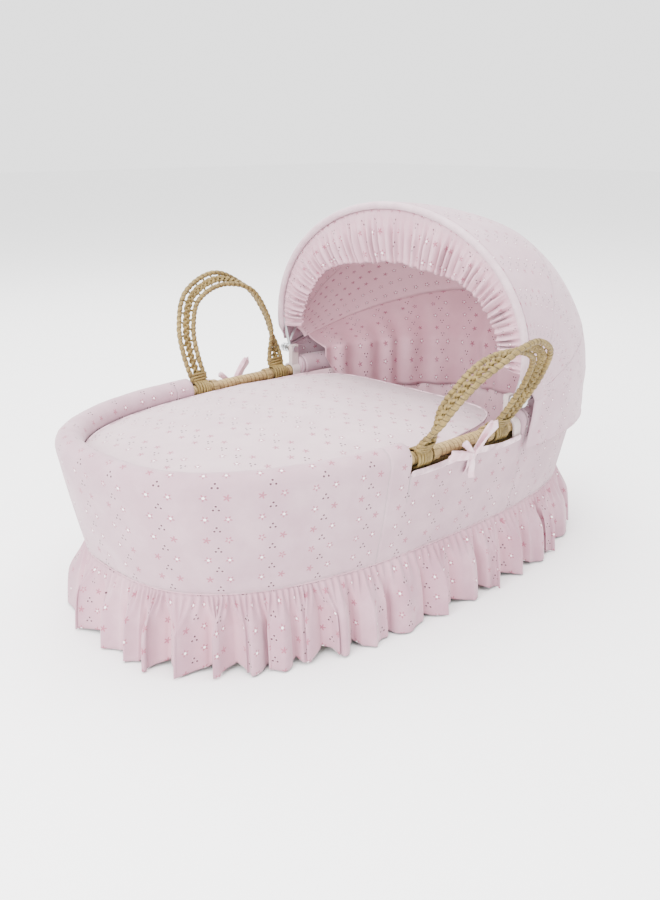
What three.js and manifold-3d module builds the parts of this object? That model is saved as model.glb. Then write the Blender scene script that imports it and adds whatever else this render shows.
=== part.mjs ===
// A dressed moses basket: a woven palm basket with two carry handles, a padded liner, a
// mattress and a coverlet, a cotton skirt with a gathered frill, and a folding hood.
// Millimetres. +X runs to the head end, +Y to the far side, +Z up.
// The origin is on the ground under the middle of the basket.
import * as THREE from 'three';
import { mergeVertices } from 'three/addons/utils/BufferGeometryUtils.js';
import Module from 'manifold-3d';

const wasm = await Module();
wasm.setup();

// ---------------------------------------------------------------- driving dimensions
const GAP = 0.4; // clearance between pieces that touch

const RIM_HALF_LENGTH = 400; // middle of the rim rope
const RIM_HALF_WIDTH = 224.8;
const RIM_SQUARENESS = 2.65; // exponent of the superellipse in plan
const RIM_HEIGHT = 226;
const ROPE_RADIUS = 9;
const WALL_FLARE = 26; // how far the wall leans out between the ground and the rim
const WALL_THICKNESS = 8;
const BASE_THICKNESS = 8;

const ROLL_RADIUS = 17; // padded roll round the rim
const ROLL_RISE = 5; // the roll's middle stands above the rope's
const LINER_THICKNESS = 5;
const SKIRT_THICKNESS = 1.6;
const SEAM_HEIGHT = 96; // where the frill is sewn on
const FRILL_FLARE = 24; // how far the frill's hem stands out from the seam
const FRILL_CLEARANCE = 4; // hem above the ground
const FRILL_THICKNESS = 2.4;

const MATTRESS_THICKNESS = 35;
const MATTRESS_CLEARANCE = 2.5;
const COVERLET_HEAD_X = 150; // the coverlet's free edge
const COVERLET_TAPER_X = -20; // where its sides start to draw in
const COVERLET_RISE = 26; // dome above its edge
const COVERLET_SAG = 19; // belly below its edge
const COVERLET_SIDE_ROOM = 0.12; // share of its half-width that it draws in by the free edge
const COVERLET_EDGE_DROP = 2; // its edge below the rope's middle
const COVERLET_ROOM = 2; // between its edge and the roll
const COVERLET_POWER = 2.6; // how flat the dome is in the middle

const OPENING_FOOT_ROOM = 16; // a handle opening runs this far past the handle's root
const OPENING_HEAD_ROOM = 2; // and this far past the hood's clip
const OPENING_SLACK = 15; // how far the panel's top edge stands off the rope
const OPENING_DROP = 12; // the panel's top edge below the rope's middle
const SIDE_SEAM_FOOT_LAP = 32; // the skirt's side panels run this far past the openings
const SIDE_SEAM_HEAD_LAP = 7;
const BINDING_WIDTH = 9;
const BINDING_THICKNESS = 1.2;

const HANDLE_MIDDLE_X = -13;
const HANDLE_FOOT_SPAN = 77; // middle of the handle to each foot
const HANDLE_BULGE = 82; // widest half-span
const HANDLE_HEIGHT = 164; // hinge to the middle of the band at the top
const HANDLE_SHAPE = [[1, 0.34], [0.96, 0.6], [0.68, 0.87]]; // shares of the bulge and the height
const HANDLE_CORD_RADIUS = 4;
const HANDLE_PLAIT_WIDTH = 11;
const HANDLE_PLAIT_THICKNESS = 7;
const HANDLE_CORD_GAP = 1.2;
const HANDLE_ROOT_LENGTH = 24;
const HANDLE_ROOT_THICKNESS = 3;
const HANDLE_ROOT_WRAP = 60; // degrees each side of the band
const NEAR_HANDLE_LEAN = 33; // degrees outward from upright
const FAR_HANDLE_LEAN = 17;
const LASHING_WIDTH = 10;
const LASHING_THICKNESS = 2.6;
const LASHING_INSET = 6; // from a handle's root to the lashing beside it

const RIBBON_X = -12;
const RIBBON_LOOP = 27;
const RIBBON_TAIL = 62;
const RIBBON_WIDTH = 12;
const RIBBON_THICKNESS = 1.8;
const TAIL_SPLAY = 9; // degrees
const TAIL_APART = 4; // each tail from the knot's middle
const TAIL_STANDOFF = 4.4;
const KNOT_SIZE = [9, 5.5, 8];
const KNOT_STANDOFF = 5.8;
const KNOT_DROP = 3; // the knot's middle below the panel's top edge
const LOOP_SIZE = [RIBBON_LOOP, 3.6, 8];
const LOOP_TILT = 22; // degrees
const LOOP_RISE = 10;
const LOOP_LAP = 3; // how far a loop runs into the knot

const HOOD_PIVOT_ROOM = 13; // between a handle's root and the hood's clip
const HOOD_PIVOT_RISE = 36; // the pivot above the rope's middle
const HOOD_BELLY = 23.8; // the front bow's widest point stands this far outside the rope
const HOOD_BOW_RISE = 246; // top of the front bow above the pivot
const HOOD_ARC_HEIGHT = 191.7; // the front bow's arc above its widest point
const HOOD_PROFILE_DROP = 50; // the side profile's middle below the pivot
const HOOD_PROFILE_SQUARENESS = 2.2;
const HOOD_STANDOFF = 9; // the hood stands this far outside the padded roll
const HOOD_HEM_DROP = 34; // the hem below the rope's middle
const HOOD_HEM_DRAW = 3; // the hem pulls in
const COVER_THICKNESS = 2;
const LINING_THICKNESS = 2;
const BOW_WIRE_RADIUS = 2.5;
const MID_BOW_ANGLE = 37; // degrees back from the front bow
const REAR_BOW_ANGLE = 74;
const PANEL_GAP_ANGLE = 0.6;
const RUCHE_WIDTH = 62; // gathered frill inside the front bow, at the top
const RUCHE_TAPER = 0.4; // share of its width that it loses by each foot
const RUCHE_THICKNESS = 6;
const RIDGE_WIDTH = 5.4;
const RIDGE_DEPTH = 9;
const COVER_TRIM = 0.04; // share of the hood's girth left bare at each foot
const HEM_TRIM = 0.01;
const LINING_TRIM = 0.1;
const REAR_LINING_ANGLE = 88; // where the lining ends at the back
const REAR_COVER_TURN = 4 / 7; // share of the rear cover's rows above the pivot's level
const BOW_PULL = [14, 80]; // a bow swings in to its eye between these distances from the pivot
const PIN_RADIUS = 3;
const PIN_CLEARANCE = 0.3;
const EYE_RADIUS = 7;
const EYE_THICKNESS = 5;
const EYE_GAP = 1.8;
const CLIP_LENGTH = 14;
const CLIP_THICKNESS = 3;
const POST_THICKNESS = 8;
const POST_LAP = 2.6; // the post's face inside the clip's
const CLIP_ROOM = 1; // between the rope and the clip
const PIN_HEAD_LAP = 2; // a pin's head stands out round its shank
const PIN_HEAD_THICKNESS = 2;
const PIN_END_THICKNESS = 1.6;

const RING_SEGMENTS = 60;
const STRAP_STEPS = 28;
const PANEL_COLUMNS = 24;

// ---------------------------------------------------------------- colours
const COTTON = { color: 0xe6d3d6, roughness: 0.9, metalness: 0 };
const COTTON_SHADE = { color: 0xd6b4bc, roughness: 0.9, metalness: 0 };
const PALM = { color: 0xb9a174, roughness: 0.75, metalness: 0 };
const WADDING = { color: 0xf2ecec, roughness: 0.95, metalness: 0 };
const PLASTIC = { color: 0xe8e4e0, roughness: 0.45, metalness: 0 };
const WIRE = { color: 0xb8bcc0, roughness: 0.3, metalness: 0.9 };

const SIDES = [{ name: 'near', sign: -1 }, { name: 'far', sign: 1 }];
const rad = THREE.MathUtils.degToRad;
const mix = THREE.MathUtils.lerp;
const basket = new THREE.Group();

// ---------------------------------------------------------------- sizes that follow from these
const openingFoot = HANDLE_MIDDLE_X - HANDLE_FOOT_SPAN - HANDLE_ROOT_LENGTH / 2 - OPENING_FOOT_ROOM;
const pivotX = HANDLE_MIDDLE_X + HANDLE_FOOT_SPAN + HANDLE_ROOT_LENGTH / 2 + HOOD_PIVOT_ROOM
  + CLIP_LENGTH / 2;
const openingHead = pivotX + CLIP_LENGTH / 2 + OPENING_HEAD_ROOM;
const sideSeamFoot = openingFoot - SIDE_SEAM_FOOT_LAP;
const sideSeamHead = openingHead + SIDE_SEAM_HEAD_LAP;
const pivotHeight = RIM_HEIGHT + HOOD_PIVOT_RISE;
const hoodHalfWidth = RIM_HALF_WIDTH + HOOD_BELLY;
const hoodOverhang = ROLL_RADIUS + HOOD_STANDOFF; // from the rope's middle
const hoodReach = RIM_HALF_LENGTH + hoodOverhang - pivotX; // pivot to the back of the hood
const hemHeight = RIM_HEIGHT - HOOD_HEM_DROP;

// ---------------------------------------------------------------- solids and meshes
function signedVolume(geometry) {
  const p = geometry.attributes.position;
  const index = geometry.index.array;
  const [a, b, c] = [0, 0, 0].map(() => new THREE.Vector3());
  let volume = 0;
  for (let i = 0; i < index.length; i += 3) {
    a.fromBufferAttribute(p, index[i]);
    b.fromBufferAttribute(p, index[i + 1]);
    c.fromBufferAttribute(p, index[i + 2]);
    volume += a.dot(b.cross(c)) / 6;
  }
  return volume;
}

function closed(source) {
  // welded, without triangles that have no area, and facing outwards
  const bare = source.clone();
  for (const name of ['normal', 'uv']) bare.deleteAttribute(name);
  const welded = mergeVertices(bare, 1e-3);
  const old = welded.index.array;
  const kept = [];
  for (let i = 0; i < old.length; i += 3) {
    const [a, b, c] = old.slice(i, i + 3);
    if (a !== b && b !== c && c !== a) kept.push(a, b, c);
  }
  welded.setIndex(kept);
  if (signedVolume(welded) < 0) welded.setIndex(kept.reverse());
  return welded;
}

function solid(geometry) {
  const welded = closed(geometry);
  return new wasm.Manifold(new wasm.Mesh({
    numProp: 3,
    vertProperties: new Float32Array(welded.attributes.position.array),
    triVerts: new Uint32Array(welded.index.array),
  }));
}

function geometryOf(manifold) {
  const mesh = manifold.getMesh();
  const geometry = new THREE.BufferGeometry();
  geometry.setAttribute('position', new THREE.BufferAttribute(mesh.vertProperties, 3));
  geometry.setIndex(new THREE.BufferAttribute(mesh.triVerts, 1));
  return geometry;
}

function add(name, shape, look, parent = basket) {
  const geometry = shape.isBufferGeometry ? closed(shape) : geometryOf(shape);
  geometry.computeVertexNormals();
  const mesh = new THREE.Mesh(geometry, new THREE.MeshStandardMaterial(look));
  mesh.name = name;
  parent.add(mesh);
  return mesh;
}

function block(low, high) {
  const size = high.map((value, axis) => value - low[axis]);
  const middle = high.map((value, axis) => (value + low[axis]) / 2);
  return solid(new THREE.BoxGeometry(...size).translate(...middle));
}

// ---------------------------------------------------------------- the basket's outline
class RimOutline extends THREE.Curve {
  getPoint(t, target = new THREE.Vector3()) {
    const angle = t * 2 * Math.PI;
    const power = 2 / RIM_SQUARENESS;
    const [c, s] = [Math.cos(angle), Math.sin(angle)];
    return target.set(
      Math.sign(c) * Math.abs(c) ** power * RIM_HALF_LENGTH,
      Math.sign(s) * Math.abs(s) ** power * RIM_HALF_WIDTH,
      0,
    );
  }
}
const rim = new RimOutline();
rim.arcLengthDivisions = 2000;

function onOutline(station, offset, height) {
  // station runs from 0 to 1 round the rim, from the head's tip by way of the far side
  const s = THREE.MathUtils.euclideanModulo(station, 1);
  const step = 2e-4;
  const tangent = rim.getPointAt(THREE.MathUtils.euclideanModulo(s + step, 1))
    .sub(rim.getPointAt(THREE.MathUtils.euclideanModulo(s - step, 1))).normalize();
  const point = rim.getPointAt(s);
  return new THREE.Vector3(point.x + tangent.y * offset, point.y - tangent.x * offset, height);
}

function rimHalfWidthAt(x) {
  return RIM_HALF_WIDTH * (1 - Math.abs(x / RIM_HALF_LENGTH) ** RIM_SQUARENESS) ** (1 / RIM_SQUARENESS);
}

function stationAt(x, sign) {
  // the station whose x is given, on the far side (sign 1) or the near side (sign -1)
  let [low, high] = [0, 0.5];
  for (let i = 0; i < 40; i += 1) {
    const middle = (low + high) / 2;
    if (rim.getPointAt(middle).x > x) low = middle;
    else high = middle;
  }
  return sign > 0 ? low : 1 - low;
}

const wallMiddle = (height) => -WALL_FLARE * (1 - height / RIM_HEIGHT);
const wallOuter = (height) => wallMiddle(height) + WALL_THICKNESS / 2;
const wallInner = (height) => wallMiddle(height) - WALL_THICKNESS / 2;

// ---------------------------------------------------------------- ways of making a piece
function ring(profile) {
  // a closed profile of [offset, height] points, carried all round the outline
  const reach = 1000;
  const points = [...profile, profile[0]].map(([o, z]) => new THREE.Vector2(reach + o, z));
  const lathe = new THREE.LatheGeometry(points, RING_SEGMENTS);
  const p = lathe.attributes.position;
  for (let i = 0; i < p.count; i += 1) {
    const [x, height, y] = [p.getX(i), p.getY(i), p.getZ(i)];
    const station = Math.round((Math.atan2(x, y) / (2 * Math.PI)) * RING_SEGMENTS) / RING_SEGMENTS;
    const moved = onOutline(station, Math.hypot(x, y) - reach, height);
    p.setXYZ(i, moved.x, moved.y, moved.z);
  }
  return lathe;
}

function arcOfRing(profile, low, high) {
  // the part of a ring inside a box
  return solid(ring(profile)).intersect(block(low, high));
}

function bent(columns, rows, place) {
  // a slab whose points are placed by place(across, along, through), each from 0 to 1
  const slab = new THREE.BoxGeometry(1, 1, 1, columns, rows, 1);
  const p = slab.attributes.position;
  for (let i = 0; i < p.count; i += 1) {
    const moved = place(p.getX(i) + 0.5, p.getY(i) + 0.5, p.getZ(i) + 0.5);
    p.setXYZ(i, moved.x, moved.y, moved.z);
  }
  return slab;
}

function plate(offset, low, high) {
  // a flat slab inside the outline
  const shape = new THREE.Shape();
  for (let i = 0; i < RING_SEGMENTS; i += 1) {
    const point = onOutline(i / RING_SEGMENTS, offset, 0);
    if (i === 0) shape.moveTo(point.x, point.y);
    else shape.lineTo(point.x, point.y);
  }
  shape.closePath();
  return new THREE.ExtrudeGeometry(shape, { depth: high - low, bevelEnabled: false }).translate(0, 0, low);
}

function roundSection(radius, sides = 6) {
  const shape = new THREE.Shape();
  for (let i = 0; i < sides; i += 1) {
    const angle = ((i + 0.5) / sides) * 2 * Math.PI;
    const point = [radius * Math.cos(angle), radius * Math.sin(angle)];
    if (i === 0) shape.moveTo(...point);
    else shape.lineTo(...point);
  }
  shape.closePath();
  return shape;
}

function flatSection(width, thickness) {
  const [w, t] = [width / 2, thickness / 2];
  const shape = new THREE.Shape();
  shape.moveTo(-w, -t).lineTo(w, -t).lineTo(w, t).lineTo(-w, t).closePath();
  return shape;
}

function strap(path, section, steps = STRAP_STEPS) {
  return new THREE.ExtrudeGeometry(section, { steps, extrudePath: path, bevelEnabled: false });
}

function saddle(inner, outer, leg, length) {
  // an upside-down U over the rope, its legs hanging below the rope's middle, along X
  const shape = new THREE.Shape();
  shape.moveTo(outer, -leg).absarc(0, 0, outer, 0, Math.PI, false).lineTo(-outer, -leg);
  shape.lineTo(-inner, -leg).absarc(0, 0, inner, Math.PI, 0, true).lineTo(inner, -leg).closePath();
  const across = new THREE.ExtrudeGeometry(shape, { depth: length, bevelEnabled: false, curveSegments: 8 });
  return across.translate(0, 0, -length / 2).rotateX(Math.PI / 2).rotateZ(Math.PI / 2);
}

// ---------------------------------------------------------------- palm basket
function makeBase() {
  add('basket_base', plate(wallOuter(BASE_THICKNESS), 0, BASE_THICKNESS), PALM);
}

const wallTop = RIM_HEIGHT - ROPE_RADIUS - GAP;

function makeWall() {
  const foot = BASE_THICKNESS + GAP;
  add('basket_wall', ring([
    [wallOuter(foot), foot],
    [wallOuter(wallTop), wallTop],
    [wallInner(wallTop), wallTop],
    [wallInner(foot), foot],
  ]), PALM);
}

function circlePoints(centre, radius, from, to, count) {
  // [offset, height] points on an arc; degrees from straight up, positive outward
  return Array.from({ length: count }, (_, i) => {
    const angle = rad(mix(from, to, i / (count - 1)));
    return [centre[0] + radius * Math.sin(angle), centre[1] + radius * Math.cos(angle)];
  });
}

function makeRope() {
  const sides = 8;
  add('rim_rope', ring(circlePoints([0, RIM_HEIGHT], ROPE_RADIUS, 0, 360 * (1 - 1 / sides), sides)), PALM);
}

function makeLashings() {
  for (const { name, sign } of SIDES) {
    const step = HANDLE_FOOT_SPAN - HANDLE_ROOT_LENGTH / 2 - LASHING_INSET - LASHING_WIDTH / 2;
    for (const [end, x] of [['foot', HANDLE_MIDDLE_X - step], ['head', HANDLE_MIDDLE_X + step]]) {
      const inner = ROPE_RADIUS + GAP;
      const turns = saddle(inner, inner + LASHING_THICKNESS, ROPE_RADIUS + GAP, LASHING_WIDTH);
      const mesh = add(`${name}_${end}_lashing`, turns, PALM);
      mesh.position.set(x, sign * rimHalfWidthAt(x), RIM_HEIGHT);
    }
  }
}

// ---------------------------------------------------------------- liner, mattress, coverlet
const rollCentre = [0, RIM_HEIGHT + ROLL_RISE];
const linerTop = rollCentre[1] - ROLL_RADIUS - GAP;

function rollProfile() {
  const cavity = ROPE_RADIUS + 4 * GAP;
  const slot = WALL_THICKNESS / 2 + 2 * GAP - wallMiddle(linerTop);
  const outerTurn = 180 - THREE.MathUtils.radToDeg(Math.asin((slot + 1) / ROLL_RADIUS));
  const innerTurn = 180 - THREE.MathUtils.radToDeg(Math.asin(slot / cavity));
  return [
    ...circlePoints(rollCentre, ROLL_RADIUS, outerTurn, -outerTurn, 10),
    ...circlePoints([0, RIM_HEIGHT], cavity, -innerTurn, innerTurn, 7),
  ];
}

function makeRolls() {
  const far = RIM_HALF_LENGTH + 2 * ROLL_RADIUS;
  const side = RIM_HALF_WIDTH + 2 * ROLL_RADIUS;
  const top = RIM_HEIGHT + 3 * ROLL_RADIUS;
  const profile = rollProfile();
  add('liner_foot_roll', arcOfRing(profile, [-far, -side, 0], [openingFoot, side, top]), COTTON);
  add('liner_head_roll', arcOfRing(profile, [openingHead, -side, 0], [far, side, top]), COTTON);
}

function makeLinerWall() {
  const foot = BASE_THICKNESS + GAP;
  const outer = (height) => wallInner(height) - GAP;
  const inner = (height) => outer(height) - LINER_THICKNESS;
  add('liner_wall', ring([
    [outer(foot), foot],
    [outer(linerTop), linerTop],
    [inner(linerTop), linerTop],
    [inner(foot), foot],
  ]), COTTON_SHADE);
}

function makeMattress() {
  const bottom = BASE_THICKNESS + GAP;
  const offset = wallInner(bottom) - GAP - LINER_THICKNESS - MATTRESS_CLEARANCE;
  add('mattress', plate(offset, bottom, bottom + MATTRESS_THICKNESS), WADDING);
}

function makeCoverlet() {
  // a lens whose edge follows the inside of the roll and rounds off at the free edge
  const reach = 1000;
  const clearance = ROLL_RADIUS + COVERLET_ROOM;
  const edge = RIM_HEIGHT - COVERLET_EDGE_DROP;
  const rings = 4;
  const top = Array.from({ length: rings }, (_, i) => {
    const share = i / rings;
    return [share, edge + COVERLET_RISE * (1 - share ** COVERLET_POWER)];
  });
  const bottom = Array.from({ length: rings }, (_, i) => {
    const share = 1 - (i + 1) / rings;
    return [share, edge - COVERLET_SAG * (1 - share ** COVERLET_POWER)];
  });
  const middle = (COVERLET_HEAD_X - RIM_HALF_LENGTH) / 2;
  const points = [...top, [1, edge], ...bottom].map(([share, z]) => new THREE.Vector2(share * reach, z));
  const lathe = new THREE.LatheGeometry(points, RING_SEGMENTS);
  const p = lathe.attributes.position;
  for (let i = 0; i < p.count; i += 1) {
    const [x, height, y] = [p.getX(i), p.getY(i), p.getZ(i)];
    const share = Math.hypot(x, y) / reach;
    const station = Math.round((Math.atan2(x, y) / (2 * Math.PI)) * RING_SEGMENTS) / RING_SEGMENTS;
    const out = onOutline(share > 0 ? station : 0, -clearance, 0);
    const past = Math.max(0, out.x - COVERLET_TAPER_X) / (RIM_HALF_LENGTH - clearance - COVERLET_TAPER_X);
    const turn = Math.sin((past * Math.PI) / 2);
    const edgeX = past > 0 ? mix(COVERLET_TAPER_X, COVERLET_HEAD_X, turn) : out.x;
    const edgeY = out.y * (1 - COVERLET_SIDE_ROOM * turn);
    p.setXYZ(i, mix(middle, edgeX, share), edgeY * share, height);
  }
  add('coverlet', lathe, COTTON);
}

// ---------------------------------------------------------------- skirt
const seamOuter = wallOuter(SEAM_HEIGHT) + GAP + SKIRT_THICKNESS;

function panelProfile(topOffset, topHeight) {
  return [
    [seamOuter, SEAM_HEIGHT],
    [topOffset + SKIRT_THICKNESS, topHeight],
    [topOffset, topHeight],
    [seamOuter - SKIRT_THICKNESS, SEAM_HEIGHT],
  ];
}

const panelTop = RIM_HEIGHT - OPENING_DROP;

function makeSkirtPanels() {
  const far = RIM_HALF_LENGTH + 100;
  const side = RIM_HALF_WIDTH + 100;
  // the panel leans, so its top edge stands off by more than the roll's radius
  const lean = Math.atan((ROLL_RADIUS + GAP - (seamOuter - SKIRT_THICKNESS)) / (rollCentre[1] - SEAM_HEIGHT));
  const full = panelProfile((ROLL_RADIUS + GAP / 10) / Math.cos(lean), rollCentre[1]);
  const low = panelProfile(OPENING_SLACK, panelTop);
  add('skirt_foot_panel',
    arcOfRing(full, [-far, -side, 0], [sideSeamFoot - GAP, side, RIM_HEIGHT * 2]), COTTON);
  add('skirt_head_panel',
    arcOfRing(full, [sideSeamHead + GAP, -side, 0], [far, side, RIM_HEIGHT * 2]), COTTON);
  for (const { name, sign } of SIDES) {
    const edges = [0, sign * side].sort((a, b) => a - b);
    add(`skirt_${name}_panel`,
      arcOfRing(low, [sideSeamFoot, edges[0], 0], [sideSeamHead, edges[1], RIM_HEIGHT * 2]), COTTON);
  }
}

function makeFrill() {
  const top = SEAM_HEIGHT - GAP;
  const hem = FRILL_CLEARANCE;
  add('skirt_frill', ring([
    [seamOuter, top],
    [seamOuter + FRILL_FLARE, hem],
    [seamOuter + FRILL_FLARE - FRILL_THICKNESS, hem],
    [seamOuter - SKIRT_THICKNESS, top],
  ]), COTTON_SHADE);
}

const panelOffsetAt = (height) => mix(
  seamOuter, OPENING_SLACK + SKIRT_THICKNESS, (height - SEAM_HEIGHT) / (panelTop - SEAM_HEIGHT));

function makeBindings() {
  for (const { name, sign } of SIDES) {
    const low = stationAt(openingHead - CLIP_LENGTH - 2, sign);
    const high = stationAt(openingFoot + 2, sign);
    const strip = bent(PANEL_COLUMNS, 1, (along, up, through) => {
      const height = panelTop - BINDING_WIDTH * (1 - up);
      const offset = panelOffsetAt(height) + GAP + through * BINDING_THICKNESS;
      return onOutline(mix(low, high, along), offset, height);
    });
    add(`${name}_opening_binding`, strip, COTTON);
  }
}

function makeRibbonBow({ name, sign }) {
  // knot, two loops and two tails, tied over the middle of the opening
  const front = rimHalfWidthAt(RIBBON_X) + OPENING_SLACK + SKIRT_THICKNESS + BINDING_THICKNESS + 2 * GAP;
  const slope = (panelOffsetAt(panelTop) - panelOffsetAt(SEAM_HEIGHT)) / (panelTop - SEAM_HEIGHT);
  const knot = new THREE.SphereGeometry(1, 10, 6).scale(...KNOT_SIZE);
  let bow = solid(knot.translate(0, sign * KNOT_STANDOFF, 0));
  for (const way of [-1, 1]) {
    const loop = new THREE.SphereGeometry(1, 10, 6).scale(...LOOP_SIZE);
    loop.rotateY(-way * rad(LOOP_TILT));
    loop.translate(way * (RIBBON_LOOP - LOOP_LAP), sign * KNOT_STANDOFF, LOOP_RISE);
    bow = bow.add(solid(loop));
    const tail = new THREE.BoxGeometry(RIBBON_WIDTH, RIBBON_THICKNESS, RIBBON_TAIL);
    tail.translate(0, 0, -RIBBON_TAIL / 2).rotateX(-sign * Math.atan(slope));
    tail.rotateY(-way * rad(TAIL_SPLAY)).translate(way * TAIL_APART, sign * TAIL_STANDOFF, 0);
    bow = bow.add(solid(tail));
  }
  const mesh = add(`${name}_ribbon_bow`, bow, COTTON);
  mesh.position.set(RIBBON_X, sign * front, panelTop - KNOT_DROP);
}

// ---------------------------------------------------------------- carry handles
const rootInner = ROPE_RADIUS + 4 * GAP;
const rootOuter = rootInner + HANDLE_ROOT_THICKNESS;

function handlePath(inset) {
  // in the handle's own plane: X along the basket, Z up from the hinge
  const foot = HANDLE_FOOT_SPAN - inset;
  const bulge = HANDLE_BULGE - inset;
  const top = HANDLE_HEIGHT - inset;
  const start = rootOuter + 3 * GAP;
  const half = [[foot, start], ...HANDLE_SHAPE.map(([out, up]) => [out * bulge, up * top])];
  const points = [...half, [0, top], ...half.map(([x, z]) => [-x, z]).reverse()];
  return new THREE.CatmullRomCurve3(points.map(([x, z]) => new THREE.Vector3(x, 0, z)));
}

function handleRoot(x) {
  // a woven sleeve round the top of the rope, which the handle turns on
  const wrap = rad(HANDLE_ROOT_WRAP);
  const middle = Math.PI / 2;
  const shape = new THREE.Shape();
  shape.absarc(0, 0, rootOuter, middle - wrap, middle + wrap, false);
  shape.absarc(0, 0, rootInner, middle + wrap, middle - wrap, true);
  shape.closePath();
  const sleeve = new THREE.ExtrudeGeometry(
    shape, { depth: HANDLE_ROOT_LENGTH, bevelEnabled: false, curveSegments: 8 });
  return solid(sleeve.translate(0, 0, -HANDLE_ROOT_LENGTH / 2)
    .rotateX(Math.PI / 2).rotateZ(Math.PI / 2).translate(x, 0, 0));
}

function makeHandle({ name, sign }, lean) {
  const group = new THREE.Group();
  const hingeX = HANDLE_MIDDLE_X - HANDLE_FOOT_SPAN;
  group.position.set(HANDLE_MIDDLE_X, sign * (rimHalfWidthAt(hingeX) + GAP), RIM_HEIGHT);
  group.rotation.x = -sign * rad(lean);
  basket.add(group);
  const spacing = HANDLE_PLAIT_WIDTH / 2 + HANDLE_CORD_GAP + HANDLE_CORD_RADIUS;
  const cord = roundSection(HANDLE_CORD_RADIUS);
  add(`${name}_handle_outer_cord`, strap(handlePath(-spacing), cord), PALM, group);
  add(`${name}_handle_inner_cord`, strap(handlePath(spacing), cord), PALM, group);
  let plait = solid(strap(handlePath(0), flatSection(HANDLE_PLAIT_THICKNESS, HANDLE_PLAIT_WIDTH)));
  for (const way of [-1, 1]) {
    const foot = way * HANDLE_FOOT_SPAN;
    const neck = block(
      [foot - HANDLE_PLAIT_WIDTH / 2, -HANDLE_PLAIT_THICKNESS / 2, rootInner + GAP],
      [foot + HANDLE_PLAIT_WIDTH / 2, HANDLE_PLAIT_THICKNESS / 2, rootOuter + 4]);
    plait = plait.add(handleRoot(foot)).add(neck);
  }
  add(`${name}_handle_plait`, plait, PALM, group);
}

// ---------------------------------------------------------------- hood
const arcMiddle = HOOD_BOW_RISE - HOOD_ARC_HEIGHT;
const footTurn = Math.PI - Math.acos(arcMiddle / HOOD_ARC_HEIGHT);
const hoodStation = stationAt(pivotX, 1);

function hoodReachAt(angle) {
  // distance from the pivot to the side profile, degrees back from upright
  const [sin, cos] = [Math.sin(rad(angle)), Math.cos(rad(angle))];
  const length = hoodReach / (1 - (HOOD_PROFILE_DROP / (HOOD_BOW_RISE + HOOD_PROFILE_DROP))
    ** HOOD_PROFILE_SQUARENESS) ** (1 / HOOD_PROFILE_SQUARENESS);
  const height = HOOD_BOW_RISE + HOOD_PROFILE_DROP;
  let [low, high] = [0, 2 * hoodReach];
  for (let i = 0; i < 40; i += 1) {
    const r = (low + high) / 2;
    const inside = ((r * sin) / length) ** HOOD_PROFILE_SQUARENESS
      + ((HOOD_PROFILE_DROP + r * cos) / height) ** HOOD_PROFILE_SQUARENESS < 1;
    if (inside) low = r;
    else high = r;
  }
  return low;
}

function hoodSection(u, angle) {
  // [y, distance from the pivot] on the hood's outside; u runs from the near foot to the far
  const share = angle / 90;
  const turn = footTurn * (2 * u - 1);
  const front = [hoodHalfWidth * Math.sin(turn), arcMiddle + HOOD_ARC_HEIGHT * Math.cos(turn)];
  const plan = onOutline(mix(-hoodStation, hoodStation, u), hoodOverhang, 0);
  const back = [plan.y, Math.max(0, plan.x - pivotX)];
  const grow = hoodReachAt(angle) / mix(HOOD_BOW_RISE, hoodReach, share);
  return [mix(front[0], back[0], share), mix(front[1], back[1], share) * grow];
}

function onHood(u, angle, inset = 0, behind = 0) {
  // inset is measured inward in the plane of a bow, behind is measured square to that plane
  const step = 1e-3;
  const [y, r] = hoodSection(u, angle);
  const [y0, r0] = hoodSection(Math.max(0, u - step), angle);
  const [y1, r1] = hoodSection(Math.min(1, u + step), angle);
  const length = Math.hypot(y1 - y0, r1 - r0);
  const inY = y + ((r1 - r0) / length) * inset;
  const inR = r - ((y1 - y0) / length) * inset;
  const [sin, cos] = [Math.sin(rad(angle)), Math.cos(rad(angle))];
  return new THREE.Vector3(
    pivotX + inR * sin + behind * cos,
    inY,
    pivotHeight + inR * cos - behind * sin,
  );
}

const clipY = rimHalfWidthAt(pivotX);
const postOuter = clipY + CLIP_THICKNESS - POST_LAP;
const eyeMiddle = (index) => postOuter + EYE_GAP + EYE_THICKNESS / 2 + index * (EYE_THICKNESS + EYE_GAP);
const stackEnd = eyeMiddle(2) + EYE_THICKNESS / 2;

function cylinderY(radius, from, to, sides = 16) {
  const rod = new THREE.CylinderGeometry(radius, radius, to - from, sides);
  return solid(rod.translate(0, (from + to) / 2, 0));
}

function placed(shape, sign) {
  // a solid drawn round the near or far pivot, moved there
  const turned = sign > 0 ? shape : shape.rotate([0, 0, 180]);
  return turned.translate([pivotX, 0, pivotHeight]);
}

class BowLine extends THREE.Curve {
  // the middle of a bow's wire, which swings in to its eye at each foot
  constructor(angle, eye) {
    super();
    this.angle = angle;
    this.eye = eye;
    this.inset = COVER_THICKNESS + BOW_WIRE_RADIUS + GAP;
  }

  getPoint(t, target = new THREE.Vector3()) {
    const point = onHood(t, this.angle, this.inset);
    const away = Math.hypot(point.x - pivotX, point.z - pivotHeight);
    const pull = 1 - THREE.MathUtils.smoothstep(away, ...BOW_PULL);
    const foot = onHood(0, this.angle, this.inset);
    const shift = this.eye - Math.abs(foot.y);
    return target.set(point.x, point.y + Math.sign(point.y) * shift * pull, point.z);
  }
}

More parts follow.
